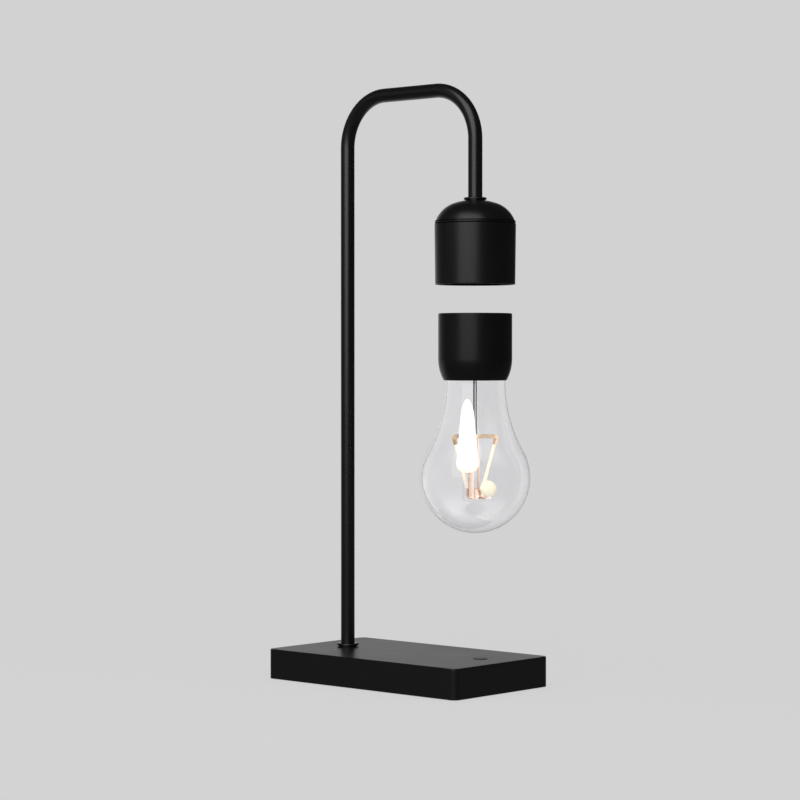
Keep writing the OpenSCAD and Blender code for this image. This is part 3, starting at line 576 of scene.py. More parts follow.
def frosted_light(tree):
    """Frosted diffuser, warm at its foot and white above, which mirrors see without its glow."""
    height = tree.node("ShaderNodeSeparateXYZ", inputs=[tree.place()], output=2)
    up = tree.ramp(height, flame_low.z, flame_low.z + WARM_FOOT * (flame_high.z - flame_low.z))
    glow = tree.mix(up, (1, 0.9, 0.7, 1), (1, 0.97, 0.9, 1))
    return {
        "Base Color": tree.mix(up, (1, 0.93, 0.8, 1), (1, 0.98, 0.95, 1)),
        "Emission Color": tree.mix(tree.mirrored(), glow, UNLIT),
        "Roughness": 0.45 + 0.2 * tree.noise(1500),
    }


def clear_glass(tree):
    """Blown glass: clear, with a breath of haze in its gloss."""
    haze = tree.noise(45, 3)
    return {"Roughness": 0.03 * tree.ramp(haze, 0.45, 0.9)}


FINISHES = {
    "black_plastic": finish("black_plastic", moulded_black, Specular_Tint=LACK_OF_GREEN),
    "cap_black": finish("cap_black", moulded_black, Specular_Tint=LACK_OF_GREEN, Specular_IOR_Level=0.38),
    # matt black without gloss: painted shade in the seam's grooves and on the pod's floor
    "matt_black_painted_shade": finish("matt_black_painted_shade", moulded_black, Specular_IOR_Level=0),
    "black_tube": finish("black_tube", tube_lacquer, Specular_IOR_Level=0.65),
    "steel": finish("steel", brushed_steel, Metallic=1),
    "rubber_pad": finish("rubber_pad", rubber_pad, Specular_IOR_Level=0.3),
    "copper": finish("copper", copper_sheet, Metallic=1),
    "winding": finish("winding", copper_winding, Metallic=1),
    "gold_plate": finish("gold_plate", gold_plate, Metallic=1),
    # gold with a painted glow at the anchor's two ends
    "gold_painted_glow": finish("gold_painted_glow", gold_painted_glow, Metallic=1, Emission_Strength=0.4),
    "ferrite": finish("ferrite", ferrite),
    "nickel": finish("nickel", nickel, Metallic=1),
    "lead": finish("lead", dark_nickel, Metallic=1),
    "circuit_board": finish("circuit_board", circuit_board),
    "component_black": finish("component_black", component_black, Specular_IOR_Level=0.3),
    "white_plastic": finish("white_plastic", white_nylon),
    # white nylon with a painted warm glow, as if lit by the strand inside
    "nylon_painted_glow": finish("nylon_painted_glow", white_nylon, Emission_Color=(1, 0.92, 0.74, 1), Emission_Strength=0.3),
    "clear_glass": finish("clear_glass", clear_glass, True, Base_Color=(0.99, 0.985, 0.995, 1), IOR=1.45,
                          Transmission_Weight=1),
    "warm_light": finish("warm_light", phosphor, Emission_Strength=0.38),
    "bead_light": finish("bead_light", phosphor, Emission_Strength=0.29),
    "white_light": finish("white_light", frosted_light, Emission_Strength=0.55),
}
# Coils show their winding, and every other CAD node takes its slot's finish
WOUND = ("charging_coil", "power_coil", "lift_coil", "receiver_coil")

for row in frame["record"]["subparts"]:
    node = frame["nodes"][row["node"]]
    node.data.materials.clear()
    node.data.materials.append(FINISHES["winding" if row["node"] in WOUND else row["material_slot"]])

# Base

EDGE_R = 0.8 * MM
FOOT_R = 0.4 * MM
CORNER_R = 5 * MM
SIDE_WALL = 4 * MM
TOP_WALL = 3 * MM
PLATE_RIM = 2 * MM
BOSS_R = 3.75 * MM
BOSS_BORE = 1.6 * MM
BOSS_INSET = 10 * MM
BUTTON_R = 4.7 * MM
BUTTON_GAP = 0.3 * MM
JACK_NOSE_R = 4.1 * MM
MOUTH_R = 0.35 * MM
BUTTON = ((button_low.x + button_high.x) / 2, (button_low.y + button_high.y) / 2)


def hole(radius, low, high, mouth):
    """Outline of a round cutter from low to past high, flared by a quarter round at the surface high."""
    past = 2 * MM
    flare = bow((radius + mouth, high - mouth), mouth, 180, 90, 6)
    above = [(radius + mouth, high + past), (0, high + past)]
    return np.concatenate(([(0, low), (radius, low)], flare, above))


def base_shell():
    """Open-bottomed box with round edges: the rows run from the middle of its ceiling down the inner wall,
    round the foot and up the outer wall to the middle of its top. Four screw bosses hang from the ceiling."""
    foot, top = plate_low.z, base_high.z
    ceiling = top - TOP_WALL
    half = (base_high.x, base_high.y)
    middle = half[1]
    inner = [(SIDE_WALL, ceiling), (SIDE_WALL, plate_high.z), (PLATE_RIM, plate_high.z), (PLATE_RIM, foot)]
    outer = soften([(PLATE_RIM, foot), (0, foot), (0, top), (middle, top)], [0, FOOT_R, EDGE_R, 0])
    rows = np.concatenate(([(2 * half[0], ceiling)], inner, outer[1:-1], [(2 * half[0], top)]))
    parts = [(boxed(rows, half, CORNER_R), False)]
    boss = np.array([(BOSS_BORE, plate_high.z), (BOSS_R, plate_high.z),
                     (BOSS_R, ceiling), (BOSS_BORE, ceiling)])
    for x in (half[0] - BOSS_INSET, BOSS_INSET - half[0]):
        for y in (half[1] - BOSS_INSET, BOSS_INSET - half[1]):
            parts.append((spun(boss, (x, y), TURN_SMALL), True))
    return parts


def base_cutters():
    """Cutters for the pole's hole, the button's hole and the inlet's hole in the side."""
    top, below = base_high.z, base_high.z - 2 * TOP_WALL
    pole = spun(hole(TUBE_R + FIT, below, top, MOUTH_R), POLE, TURN_COARSE)
    button = spun(hole(BUTTON_R + BUTTON_GAP, below, top, MOUTH_R), BUTTON, TURN_MEDIUM)
    side = hole(JACK_NOSE_R + FIT, base_high.y - 2 * SIDE_WALL, base_high.y, MOUTH_R)
    side = spun(side, (0, 0), TURN_COARSE)
    inlet = np.stack((side[..., 0] + (pin_low.x + pin_high.x) / 2, side[..., 2],
                      side[..., 1] + (pin_low.z + pin_high.z) / 2), axis=-1)
    return [shown("cutter", mesh_of("cutter", [(grid, False)])) for grid in (pole, button, inlet)]


housing = piece("base_shell", base_shell(), "stand", "black_plastic", "black_plastic", "base_housing")
carve(housing, *base_cutters())

DISH = 0.25 * MM
BUTTON_RIM = 0.5 * MM
FLANGE_T = 1.4 * MM
STEM_R = 2 * MM
flange_top = base_high.z - TOP_WALL - BUTTON_GAP
dish_r = (BUTTON_R - BUTTON_RIM) ** 2 / (2 * DISH)
dish_turn = np.degrees(np.arcsin((BUTTON_R - BUTTON_RIM) / dish_r))
dish = bow((0, button_high.z - DISH + dish_r), dish_r, dish_turn - 90, -90, 10)
flange_r = button_high.x - BUTTON[0]
flange_low = flange_top - FLANGE_T
button_side = soften(
    [(0, button_low.z), (STEM_R, button_low.z), (STEM_R, flange_low), (flange_r, flange_low),
     (flange_r, flange_top), (BUTTON_R, flange_top), (BUTTON_R, button_high.z),
     (BUTTON_R - BUTTON_RIM, button_high.z)],
    BREAK_R)
button_line = np.concatenate((button_side, dish[1:]))
piece("button_cap", [(spun(button_line, BUTTON, TURN_MEDIUM), False)], "button", "black_plastic",
      "black_plastic", "mode_button")

# Arm

BEND_R = 36 * MM
TUBE_WALL = 1.2 * MM
TUBE_PAST_NUT = 0.5 * MM
bend_z = ARM_Z - BEND_R
arm_line = np.concatenate((
    [(POLE[0], tube_low.z)],
    bow((POLE[0] + BEND_R, bend_z), BEND_R, 180, 90, 28),
    bow((BULB[0] - BEND_R, bend_z), BEND_R, 90, 0, 28),
    [(BULB[0], nut_low.z - TUBE_PAST_NUT)],
))
flat = held(arm_line)
arm_path = np.column_stack((flat[:, 0], 0 * flat[:, 0], flat[:, 1]))
outside = swept(arm_path, round_section(TUBE_R, TURN_COARSE))
inside = swept(arm_path, round_section(TUBE_R - TUBE_WALL, TURN_COARSE))
piece("tube", [(walled(outside, inside), True)], "stand", "black_tube", "black_tube", "arm_tube")

COLLAR_R = 8 * MM
COLLAR_H = 2.4 * MM
COLLAR_NECK_R = TUBE_R + 1.6 * MM
COLLAR_NECK_H = 0.6 * MM


def collar(z):
    """Ring round the tube: a narrow neck under a flange whose rim is a half round."""
    inner = TUBE_R + FIT
    rim = (COLLAR_H - COLLAR_NECK_H) / 2
    turned = bow((COLLAR_R - rim, z + COLLAR_NECK_H + rim), rim, -90, 90, 14)
    return np.concatenate(([(inner, z), (COLLAR_NECK_R, z), (COLLAR_NECK_R, z + COLLAR_NECK_H)], turned,
                           [(inner, z + COLLAR_H)]))


piece("pole_ring", [(spun(collar(base_high.z), POLE, TURN_MEDIUM), True)], "stand", "black_tube",
      "black_tube", "pole_collar")
piece("pod_ring", [(spun(collar(dome_high.z), BULB, TURN_MEDIUM), True)], "stand", "black_tube",
      "black_tube", "pod_collar")

# Pod

POD_R = 28.3 * MM
POD_DRAFT = 0.5 * MM
POD_EDGE = 0.6 * MM
POD_WALL = 2.3 * MM
SEAM_LINE = 0.7 * MM
SEAM_DEPTH = 1.5 * MM
SEAM_SHADE = 0.5 * MM
SEAM_BAND = 0.95 * MM
SEAM_BAND_DEPTH = 0.1 * MM
SEAM_EDGE_R = 0.12 * MM
RING_EDGE_R = 0.05 * MM
COVER_EDGE_R = 0.25 * MM
POD_FLOOR_T = 1.8 * MM
SHOULDER_R = 20.3 * MM
CROWN_R = 46.2 * MM
DOME_FLARE = 0.45 * MM
DOME_SINK = 7.2 * MM
DOME_WALL = 2.2 * MM
DOME_ROOF_T = 2.5 * MM
SKIRT_H = 3.5 * MM
SKIRT_T = 1 * MM
cover_r = (cover_high.x - cover_low.x) / 2
dome_z = pod_high.z
seam_z = dome_z - 2 * SEAM_LINE - SEAM_BAND
shoulder = np.array((POD_R + DOME_FLARE - SHOULDER_R, dome_z - DOME_SINK))
crown = np.array((0, shoulder[1] - np.sqrt((CROWN_R - SHOULDER_R) ** 2 - shoulder[0] ** 2)))
dome_turn = np.degrees(np.arctan2(shoulder[1] - crown[1], shoulder[0]))


def dome_line(inset, low, high):
    """Dome outline moved in by inset: the shoulder's arc, then the crown's, which it touches from inside."""
    side, top = SHOULDER_R - inset, CROWN_R - inset
    start = np.degrees(np.arcsin((low - shoulder[1]) / side))
    end = np.degrees(np.arcsin((high - crown[1]) / top))
    return np.concatenate((
        bow(shoulder, side, start, dome_turn, 20),
        bow(crown, top, dome_turn, end, 20)[1:],
    ))


def dome_outline():
    """Loop of the dome's wall: outside up, round the tube's hole, inside down, then the skirt in the body."""
    bore, roof = TUBE_R + FIT, dome_high.z - DOME_ROOF_T
    skirt = POD_R - POD_WALL - FIT
    foot = dome_z - SKIRT_H
    outside = dome_line(0, dome_z, dome_high.z)
    return np.concatenate((
        outside[:-1],
        soften([outside[-1], (bore, dome_high.z), (bore, roof)], BREAK_R),
        dome_line(DOME_WALL, dome_z, roof)[::-1],
        [(skirt - SKIRT_T, dome_z), (skirt - SKIRT_T, foot), (skirt, foot), (skirt, dome_z)],
    ))


def pod_outline():
    """Outline of the pod's body from its floor's middle outwards, up past the seam band and back inside."""
    seat_r, foot_r = cover_r + FIT, POD_R - POD_DRAFT
    line, band = POD_R - SEAM_DEPTH, POD_R - SEAM_BAND_DEPTH
    low, high = seam_z + SEAM_LINE, seam_z + SEAM_LINE + SEAM_BAND
    outside = soften(
        [(0, cover_high.z), (seat_r, cover_high.z), (seat_r, pod_low.z), (foot_r, pod_low.z),
         (POD_R, seam_z), (line, seam_z), (line, low), (band, low),
         (band, high), (line, high), (line, dome_z)],
        [0, 0, BREAK_R, POD_EDGE, BREAK_R, 0, 0, SEAM_EDGE_R, SEAM_EDGE_R, 0, 0])
    floor = cover_high.z + POD_FLOOR_T
    return np.concatenate((outside, [(POD_R - POD_WALL, dome_z), (POD_R - POD_WALL, floor), (0, floor)]))


def painted_groove_shade(low):
    """Loop of a flat ring at the bottom of one of the seam's grooves, whose matt black face is painted shade
    that keeps the line dark.
    """
    inner, outer, high = POD_R - SEAM_DEPTH, POD_R - SEAM_SHADE, low + SEAM_LINE
    return soften([(inner, low), (outer, low), (outer, high), (inner, high)], RING_EDGE_R, True, 2)


piece("pod_top", [(spun(dome_outline(), around=TURN_FINE), True)], "stand", "black_plastic",
      "black_plastic", "pod_dome")
piece("pod_shell", [(spun(pod_outline(), around=TURN_FINE), False)], "stand", "black_plastic",
      "black_plastic", "pod_body")
# matt black rings in the seam's grooves: painted shade that keeps the lines dark
painted_seam_shades = [(spun(painted_groove_shade(low), around=TURN_FINE), True) for low in (seam_z, dome_z - SEAM_LINE)]
piece("painted_seam_shades", painted_seam_shades, "stand", "black_plastic", "matt_black_painted_shade")
cover_line = soften([(0, cover_low.z), (cover_r, cover_low.z), (cover_r, cover_high.z), (0, cover_high.z)],
                    COVER_EDGE_R)
# the pod's floor takes the glossless black: painted shade under the pod
piece("pod_floor", [(spun(cover_line, around=TURN_FINE), False)], "stand", "black_plastic",
      "matt_black_painted_shade", "pod_cover")

# Floating cap

CAP_FOOT_H = 15 * MM
CAP_FOOT_R = 31 * MM
CAP_EDGE_R = 0.8 * MM
CAP_FOOT_EDGE_R = 0.35 * MM
CAP_BORE_EDGE_R = 0.1 * MM
CAP_LEDGE = 0.8 * MM
NECK_R = 20.9 * MM
NECK_H = 12 * MM
HOLDER_LEDGE = 1.5 * MM
HOLDER_UP = 32.5 * MM
RUN_GAP = 0.3 * MM
cap_r = (cap_high.x - cap_low.x) / 2
lid_r = (lid_high.x - lid_low.x) / 2


def cap_outline():
    """Loop of the cap's wall: round foot, straight side and round rim outside, then the lid's seat, the
    holder's ledge and the neck's socket inside."""
    bore, bore_top = NECK_R + FIT, cap_low.z + NECK_H + RUN_GAP
    chamber = lid_r - CAP_LEDGE
    low = chamber - HOLDER_LEDGE
    foot = bow((cap_r - CAP_FOOT_R, cap_low.z + CAP_FOOT_H), CAP_FOOT_R,
               np.degrees(np.arcsin(-CAP_FOOT_H / CAP_FOOT_R)), 0, 24)
    holder_z = cap_low.z + HOLDER_UP
    return np.concatenate((
        soften([(bore, bore_top), (bore, cap_low.z), foot[0], foot[1]],
               [0, CAP_BORE_EDGE_R, CAP_FOOT_EDGE_R, 0])[1:-1],
        foot[1:],
        bow((cap_r - CAP_EDGE_R, cap_high.z - CAP_EDGE_R), CAP_EDGE_R, 0, 90, 8),
        [(lid_r + FIT, cap_high.z), (lid_r + FIT, lid_low.z), (chamber, lid_low.z), (chamber, holder_z),
         (low, holder_z), (low, bore_top), (bore, bore_top)],
    ))


piece("cap", [(spun(cap_outline(), around=TURN_FINE), True)], "bulb", "black_plastic", "cap_black",
      "cap_shell")
lid_line = soften([(0, lid_low.z), (lid_r, lid_low.z), (lid_r, lid_high.z), (0, lid_high.z)], BREAK_R)
piece("cap_top", [(spun(lid_line, around=TURN_FINE), False)], "bulb", "black_plastic",
      "black_plastic", "cap_lid")

# Glass

BALL_R = (glass_high.x - glass_low.x) / 2
SWEEP_R = 102 * MM
GLASS_T = 1 * MM
ball_z = glass_low.z + BALL_R
neck_foot = cap_low.z
sweep_turn = np.degrees(np.arctan2(neck_foot - ball_z, NECK_R + SWEEP_R))


def glass_line(inset):
    """Bulb outline moved in by inset: ball, the hollow sweep into the neck, then the straight neck."""
    return np.concatenate((
        bow((0, ball_z), BALL_R - inset, -90, sweep_turn, 56),
        bow((NECK_R + SWEEP_R, neck_foot), SWEEP_R + inset, 180 + sweep_turn, 180, 24)[1:],
        [(NECK_R - inset, glass_high.z)],
    ))


envelope = np.concatenate((glass_line(0), glass_line(GLASS_T)[::-1]))
piece("envelope", [(spun(envelope, around=TURN_FINE), False)], "bulb", "clear_glass",
      "clear_glass", "glass_bulb")

STEM_PLATE_T = 2 * MM
ROD_R = 1.8 * MM
ROD_WALL = 0.3 * MM
ROD_EDGE_R = 0.1 * MM
STEM_FILLET_R = 3 * MM
STEM_EDGE_R = 0.3 * MM
stem_plate_z = stem_high.z - STEM_PLATE_T
stem_r = NECK_R - GLASS_T - FIT
stem_line = soften(
    [(ROD_R - ROD_WALL, stem_low.z), (ROD_R, stem_low.z), (ROD_R, stem_plate_z), (stem_r, stem_plate_z),
     (stem_r, stem_high.z), (ROD_R - ROD_WALL, stem_high.z)],
    [ROD_EDGE_R, ROD_EDGE_R, STEM_FILLET_R, STEM_EDGE_R, STEM_EDGE_R, ROD_EDGE_R], closed=True)
piece("stem", [(spun(stem_line, around=TURN_MEDIUM), True)], "bulb", "clear_glass",
      "clear_glass", "bulb_stem")

# Light unit: local x runs across the anchor, local y towards the back

LIGHT_TURN = np.radians(42)


def at_light(grid):
    """Points of the light unit's own frame, turned about the bulb's axis and set on it."""
    x, y, z = np.moveaxis(grid, -1, 0)
    c, s = np.cos(LIGHT_TURN), np.sin(LIGHT_TURN)
    return np.stack((BULB[0] + c * x - s * y, BULB[1] + s * x + c * y, z), axis=-1)


def bar_section(width, height, radius):
    """Rounded rectangle as section points."""
    return soften(np.array([(1, 1), (-1, 1), (-1, -1), (1, -1)]) * (width / 2, height / 2), radius, True, 3)


LEAD_R = 0.6 * MM
LEAD_C = 0.85 * MM
LEAD_LIFT = 0.2 * MM
leads = []
for x in (-LEAD_C, LEAD_C):
    line = np.linspace((x, 0, stem_low.z + LEAD_LIFT), (x, 0, stem_high.z), 4)
    leads.append((at_light(capped(swept(line, round_section(LEAD_R, 16)))), False))
piece("stem_leads", leads, "bulb", "steel", "lead")

ANCHOR_REACH = 14.4 * MM
ANCHOR_T = 2.8 * MM
ANCHOR_W = 1.6 * MM
ANCHOR_SEAT = 1 * MM
ANCHOR_PAST = 0.2 * MM
ANCHOR_BEND_R = 1.2 * MM
ANCHOR_EDGE_R = 0.4 * MM
BOSS_OUT_R = 2.6 * MM
BOSS_EDGE_R = 0.3 * MM
CLIP_DROP = 2.2 * MM
CLIP_L = 3.6 * MM
CLIP_LAP = 0.6 * MM
SLEEVE_GAP = 0.02 * MM
SLEEVE_T = 0.35 * MM
SLEEVE_EDGE_R = 0.12 * MM
FERRULE_R = 1.6 * MM
FERRULE_L = 6 * MM
FERRULE_EDGE_R = 0.15 * MM
FILAMENT_R = 1.15 * MM
FILAMENT_LIFT = 0.4 * MM
FILAMENT_END_R = 0.6 * MM
HUB_R = 6.5 * MM
HUB_H = 6 * MM
anchor_z = stem_low.z - ANCHOR_SEAT + ANCHOR_T / 2
hub_z = hub_low.z
hub_top = hub_z + HUB_H
filament_foot = np.array((HUB_R - FILAMENT_R, hub_top + FILAMENT_LIFT))
filament_head = np.array((ANCHOR_REACH, anchor_z - CLIP_DROP))
filament_l = np.linalg.norm(filament_head - filament_foot)
slope = (filament_head - filament_foot) / filament_l


def anchor_bar():
    """Strip bent from a clip's foot up to the bar, across and down to the other clip, with a boss in its
    middle that the rod sits in."""
    tip = filament_head - CLIP_LAP * slope
    right = soften([(0, anchor_z), (ANCHOR_REACH + ANCHOR_PAST, anchor_z), tip], ANCHOR_BEND_R)
    flat = np.concatenate((right[::-1] * (-1, 1), right[1:]))
    line = np.column_stack((flat[:, 0], 0 * flat[:, 0], flat[:, 1]))
    low, high = anchor_z - ANCHOR_T / 2, anchor_z + ANCHOR_T / 2
    bore, seat = ROD_R + FIT, stem_low.z
    boss = soften([(0, low), (BOSS_OUT_R, low), (BOSS_OUT_R, high), (bore, high), (bore, seat), (0, seat)],
                  [0, ANCHOR_EDGE_R, BOSS_EDGE_R, BREAK_R, 0, 0])
    return [(at_light(capped(swept(line, bar_section(ANCHOR_T, ANCHOR_W, ANCHOR_EDGE_R)))), False),
            (spun(boss, around=TURN_COARSE), False)]


def slanted(outline, foot, axis, side):
    """Solid of revolution about a slanted line in the light's upright plane: outline point (r, h) goes to
    foot + h axis + r (cos t across + sin t towards the back), mirrored where side is -1."""
    t = np.linspace(0, 2 * np.pi, 32, endpoint=False)
    r, h = outline[:, :1], outline[:, 1:]
    x = side * (foot[0] + h * axis[0] + r * np.cos(t) * axis[1])
    z = foot[1] + h * axis[1] - r * np.cos(t) * axis[0]
    return at_light(np.stack((x, r * np.sin(t) + 0 * x, z), axis=-1))


def both(outline, foot, ring):
    """A filament's part and its mirror image."""
    return [(slanted(outline, foot, slope, side), ring) for side in (-1, 1)]


def pipe(outer, length, edge_r):
    """Loop of a pipe's wall round the filament."""
    inner = FILAMENT_R + SLEEVE_GAP
    return soften([(inner, 0), (outer, 0), (outer, length), (inner, length)], edge_r, True)


strand = soften([(0, 0), (FILAMENT_R, 0), (FILAMENT_R, filament_l), (0, filament_l)], FILAMENT_END_R)
sleeve = pipe(FILAMENT_R + SLEEVE_T, CLIP_L, SLEEVE_EDGE_R)
ferrule = pipe(FERRULE_R, FERRULE_L, FERRULE_EDGE_R)
piece("anchor", anchor_bar() + both(sleeve, filament_head - CLIP_L * slope, True), "bulb", "gold_plate",
      "gold_painted_glow", "upper_anchor")
# the ferrules carry a painted glow
piece("ferrules", both(ferrule, filament_foot, True), "bulb", "white_plastic", "nylon_painted_glow")
piece("filament_strands", both(strand, filament_foot, False), "bulb", "warm_light", "warm_light",
      "filaments")

POST_R = 0.7 * MM
POST_SHIFT = 2.2 * MM
POST_BOW = 0.5 * MM
POST_SINK = 0.2 * MM
CUP_RIM = 0.9 * MM
CUP_SLOPE = 0.5 * MM
CUP_DEPTH = 0.8 * MM
CUP_FOOT_R = 1 * MM
CUP_EDGE_R = 0.3 * MM
CUP_FLOOR_R = 0.4 * MM
cup = soften(
    [(0, hub_z), (HUB_R, hub_z), (HUB_R, hub_top), (HUB_R - CUP_RIM, hub_top),
     (HUB_R - CUP_RIM - CUP_SLOPE, hub_top - CUP_DEPTH), (0, hub_top - CUP_DEPTH)],
    [0, CUP_FOOT_R, CUP_EDGE_R, CUP_EDGE_R, CUP_FLOOR_R, 0])


def post_line():
    """Wire from the cup's floor up to the anchor. At share s of its height it stands
    POST_SHIFT + POST_BOW (sin(pi s) - s) beside the axis, so it bows outwards and ends a little nearer."""
    share = np.linspace(0, 1, 15)
    foot = hub_top - CUP_DEPTH - POST_SINK
    x = POST_SHIFT + POST_BOW * (np.sin(np.pi * share) - share)
    return np.column_stack((x, 0 * share, foot + share * (hub_high.z - foot)))


post = at_light(capped(swept(post_line(), round_section(POST_R, TURN_SMALL))))
piece("hub", [(spun(cup, around=TURN_MEDIUM), False), (post, False)], "bulb", "copper", "copper",
      "lower_hub")

STRIP_T = 0.8 * MM
STRIP_W = 3.8 * MM
STRIP_SHIFT = 2.5 * MM
STRIP_FOOT = 3 * STRIP_T
STRIP_BEND_R = 1.6 * STRIP_T
STRIP_EDGE_R = 0.25 * MM
DISC_R = HUB_R - 1 * MM
FLAME_SINK = 0.6 * MM
BEAD_SINK = 0.4 * MM
FLAME_AT = np.array((-5.5, -9.2)) * MM
BEAD_AT = np.array((8.8, -9.2)) * MM


def bracket_arm(place, top):
    """Flat arm from under the hub out to a place, and the strip that stands up from its end, square to the
    light's own y. The strip's foot is bent round towards the hub."""
    low = hub_z - STRIP_T / 2
    unit = place / np.linalg.norm(place)
    arm = np.linspace((0, 0, low), (*(place - unit * STRIP_T), low), 3)
    bend = soften([(place[1] + STRIP_FOOT, low), (place[1], low), (place[1], top)], STRIP_BEND_R)
    strip = np.column_stack((0 * bend[:, 0] + place[0], bend))
    flat = bar_section(STRIP_T, STRIP_W, STRIP_EDGE_R)
    return [(at_light(capped(swept(arm, flat, (-unit[1], unit[0], 0)))), False),
            (at_light(capped(swept(strip, flat, (1, 0, 0)))), False)]


disc = soften([(0, hub_z - STRIP_T), (DISC_R, hub_z - STRIP_T), (DISC_R, hub_z), (0, hub_z)], BREAK_R)
flame_strip = bracket_arm(FLAME_AT + (STRIP_SHIFT, 0), flame_low.z + FLAME_SINK)
bead_strip = bracket_arm(BEAD_AT, bead_low.z + BEAD_SINK)
piece("bracket", [(spun(disc, around=TURN_COARSE), False)] + flame_strip + bead_strip, "bulb", "copper",
      "copper", "light_bracket")

FLAME_R = 7.7 * MM
FLAME_H = 51 * MM
FLAME_FOOT_R = 0.78 * FLAME_R
FLAME_NOSE_R = 0.585 * FLAME_R
FLAME_NOSE_H = 0.21 * FLAME_H
FLAME_TIP_R = 0.25 * FLAME_R


def flame_outline():
    """Flame from its foot's middle up: the foot's arc, a straight taper that touches it and ends at the
    nose, then the nose's arc, which goes on in the taper's direction and touches the small tip's arc."""
    foot = np.array((FLAME_R - FLAME_FOOT_R, FLAME_FOOT_R))
    nose = np.array((FLAME_NOSE_R, FLAME_H - FLAME_NOSE_H))
    tip = np.array((0, FLAME_H - FLAME_TIP_R))
    side, up = nose - foot, nose - tip
    taper = np.arctan2(side[1], side[0]) - np.arccos(FLAME_FOOT_R / np.linalg.norm(side))
    out = np.array((np.cos(taper), np.sin(taper)))
    nose_arc_r = (up @ up - FLAME_TIP_R ** 2) / (2 * (up @ out - FLAME_TIP_R))
    nose_centre = nose - nose_arc_r * out
    turn = np.degrees(np.arctan2(tip[1] - nose_centre[1], -nose_centre[0]))
    taper = np.degrees(taper)
    outline = np.concatenate((
        [(0, 0)],
        bow(foot, FLAME_FOOT_R, -90, taper, 24),
        bow(nose_centre, nose_arc_r, taper, turn, 20),
        bow(tip, FLAME_TIP_R, turn, 90, 12)[1:],
    ))
    return outline + (0, flame_low.z)


def light_axis(place):
    """Upright line of a light, in the frame."""
    spot = at_light(np.array((place[0], place[1], 0)))
    return (spot[0], spot[1])


piece("flame", [(spun(flame_outline(), light_axis(FLAME_AT), TURN_MEDIUM), False)], "bulb", "white_light",
      "white_light", "flame_led")
bead_r = (bead_high.z - bead_low.z) / 2
bead_line = bow((0, bead_low.z + bead_r), bead_r, -90, 90, 32)
piece("bead", [(spun(bead_line, light_axis(BEAD_AT), TURN_MEDIUM), False)], "bulb", "warm_light",
      "bead_light", "bead_led")

# Studio: grey floor and world, and a soft box. A pair says where a ramp starts and where it is full: as the
# part of a direction that points behind the lamp, to a side or up, or in metres on the floor.

BACKDROP_LEVEL = 210
BACKDROP = tone(BACKDROP_LEVEL)
AMBIENT = 0.5
SEEN_THROUGH = 1.04
ROOM = 0.035
ROOM_RISE = (0.25, 0.75)
WALL_REACH = (0.82, 1)
WALL_TILT = 0.2
LEFT_WALL = 0.14
LEFT_REACH = (0.5, 0.95)
LEFT_FADE = 0.7
LEFT_END = (-0.05, 0.25)
DIM_FLOOR = 0.1
FAR_FLOOR = (0.1, 0.6)
FLOOR_REACH = (0.7, 0.95)
FLOOR_TILT = 0.32
GLASS_LEFT = 0.05
GLASS_RIGHT = 1.7
GLASS_SIDES = (-0.5, 0.5)
GLASS_TOP = 0.9
GLASS_TOP_RISE = (0.6, 0.8)
GLASS_BACK = 1.15
GLASS_BACK_FADE = 0.36
GLASS_BACK_REACH = (0.7, 0.95)
GLASS_ROOF_FADE = 0.35
GLASS_ROOF_RISE = (0.2, 0.6)
GLASS_TURN = (0.2, 0.6)
GLASS_GLOW = 1.3
GLOW_R = (0.16, 0.4)
GLOW_FRONT = (-0.1, 0.3)
SHADOW_R = (0.18, 0.6)
SHADOW_SHARE = 0.14
SHADOW_LIFT = 0.28
FLOOR_R = 8.0
FLOOR_NEAR_R = 0.6
FLOOR_T = 0.02


def along(tree, vector, way):
    """Length of a vector along a direction."""
    return tree.node("ShaderNodeVectorMath", {"operation": "DOT_PRODUCT"}, [vector, tuple(way)], output=1)


def mirrored_in_glass(tree, behind, right, up):
    """Level that a reflection in clear glass finds in a direction: in front it rises from left to right, and
    is brighter above; behind it fades straight behind the lamp and above."""
    side = GLASS_LEFT + (GLASS_RIGHT - GLASS_LEFT) * tree.ramp(right, *GLASS_SIDES)
    front = side + GLASS_TOP * tree.ramp(up, *GLASS_TOP_RISE)
    deep = 1 - GLASS_BACK_FADE * tree.ramp(behind, *GLASS_BACK_REACH)
    roof = 1 - GLASS_ROOF_FADE * tree.ramp(up, *GLASS_ROOF_RISE)
    back = GLASS_BACK * deep * roof
    return front + (back - front) * tree.ramp(behind, *GLASS_TURN)


def ray_shares(tree):
    """Shares of rays that see straight, were mirrored last, or were mirrored in glass and came out of it."""
    camera, glossy, through = (rays(tree, kind) for kind in ("Camera", "Glossy", "Transmission"))
    turned = through * tree.mirrored()
    return camera + SEEN_THROUGH * (through - turned), glossy - through, turned


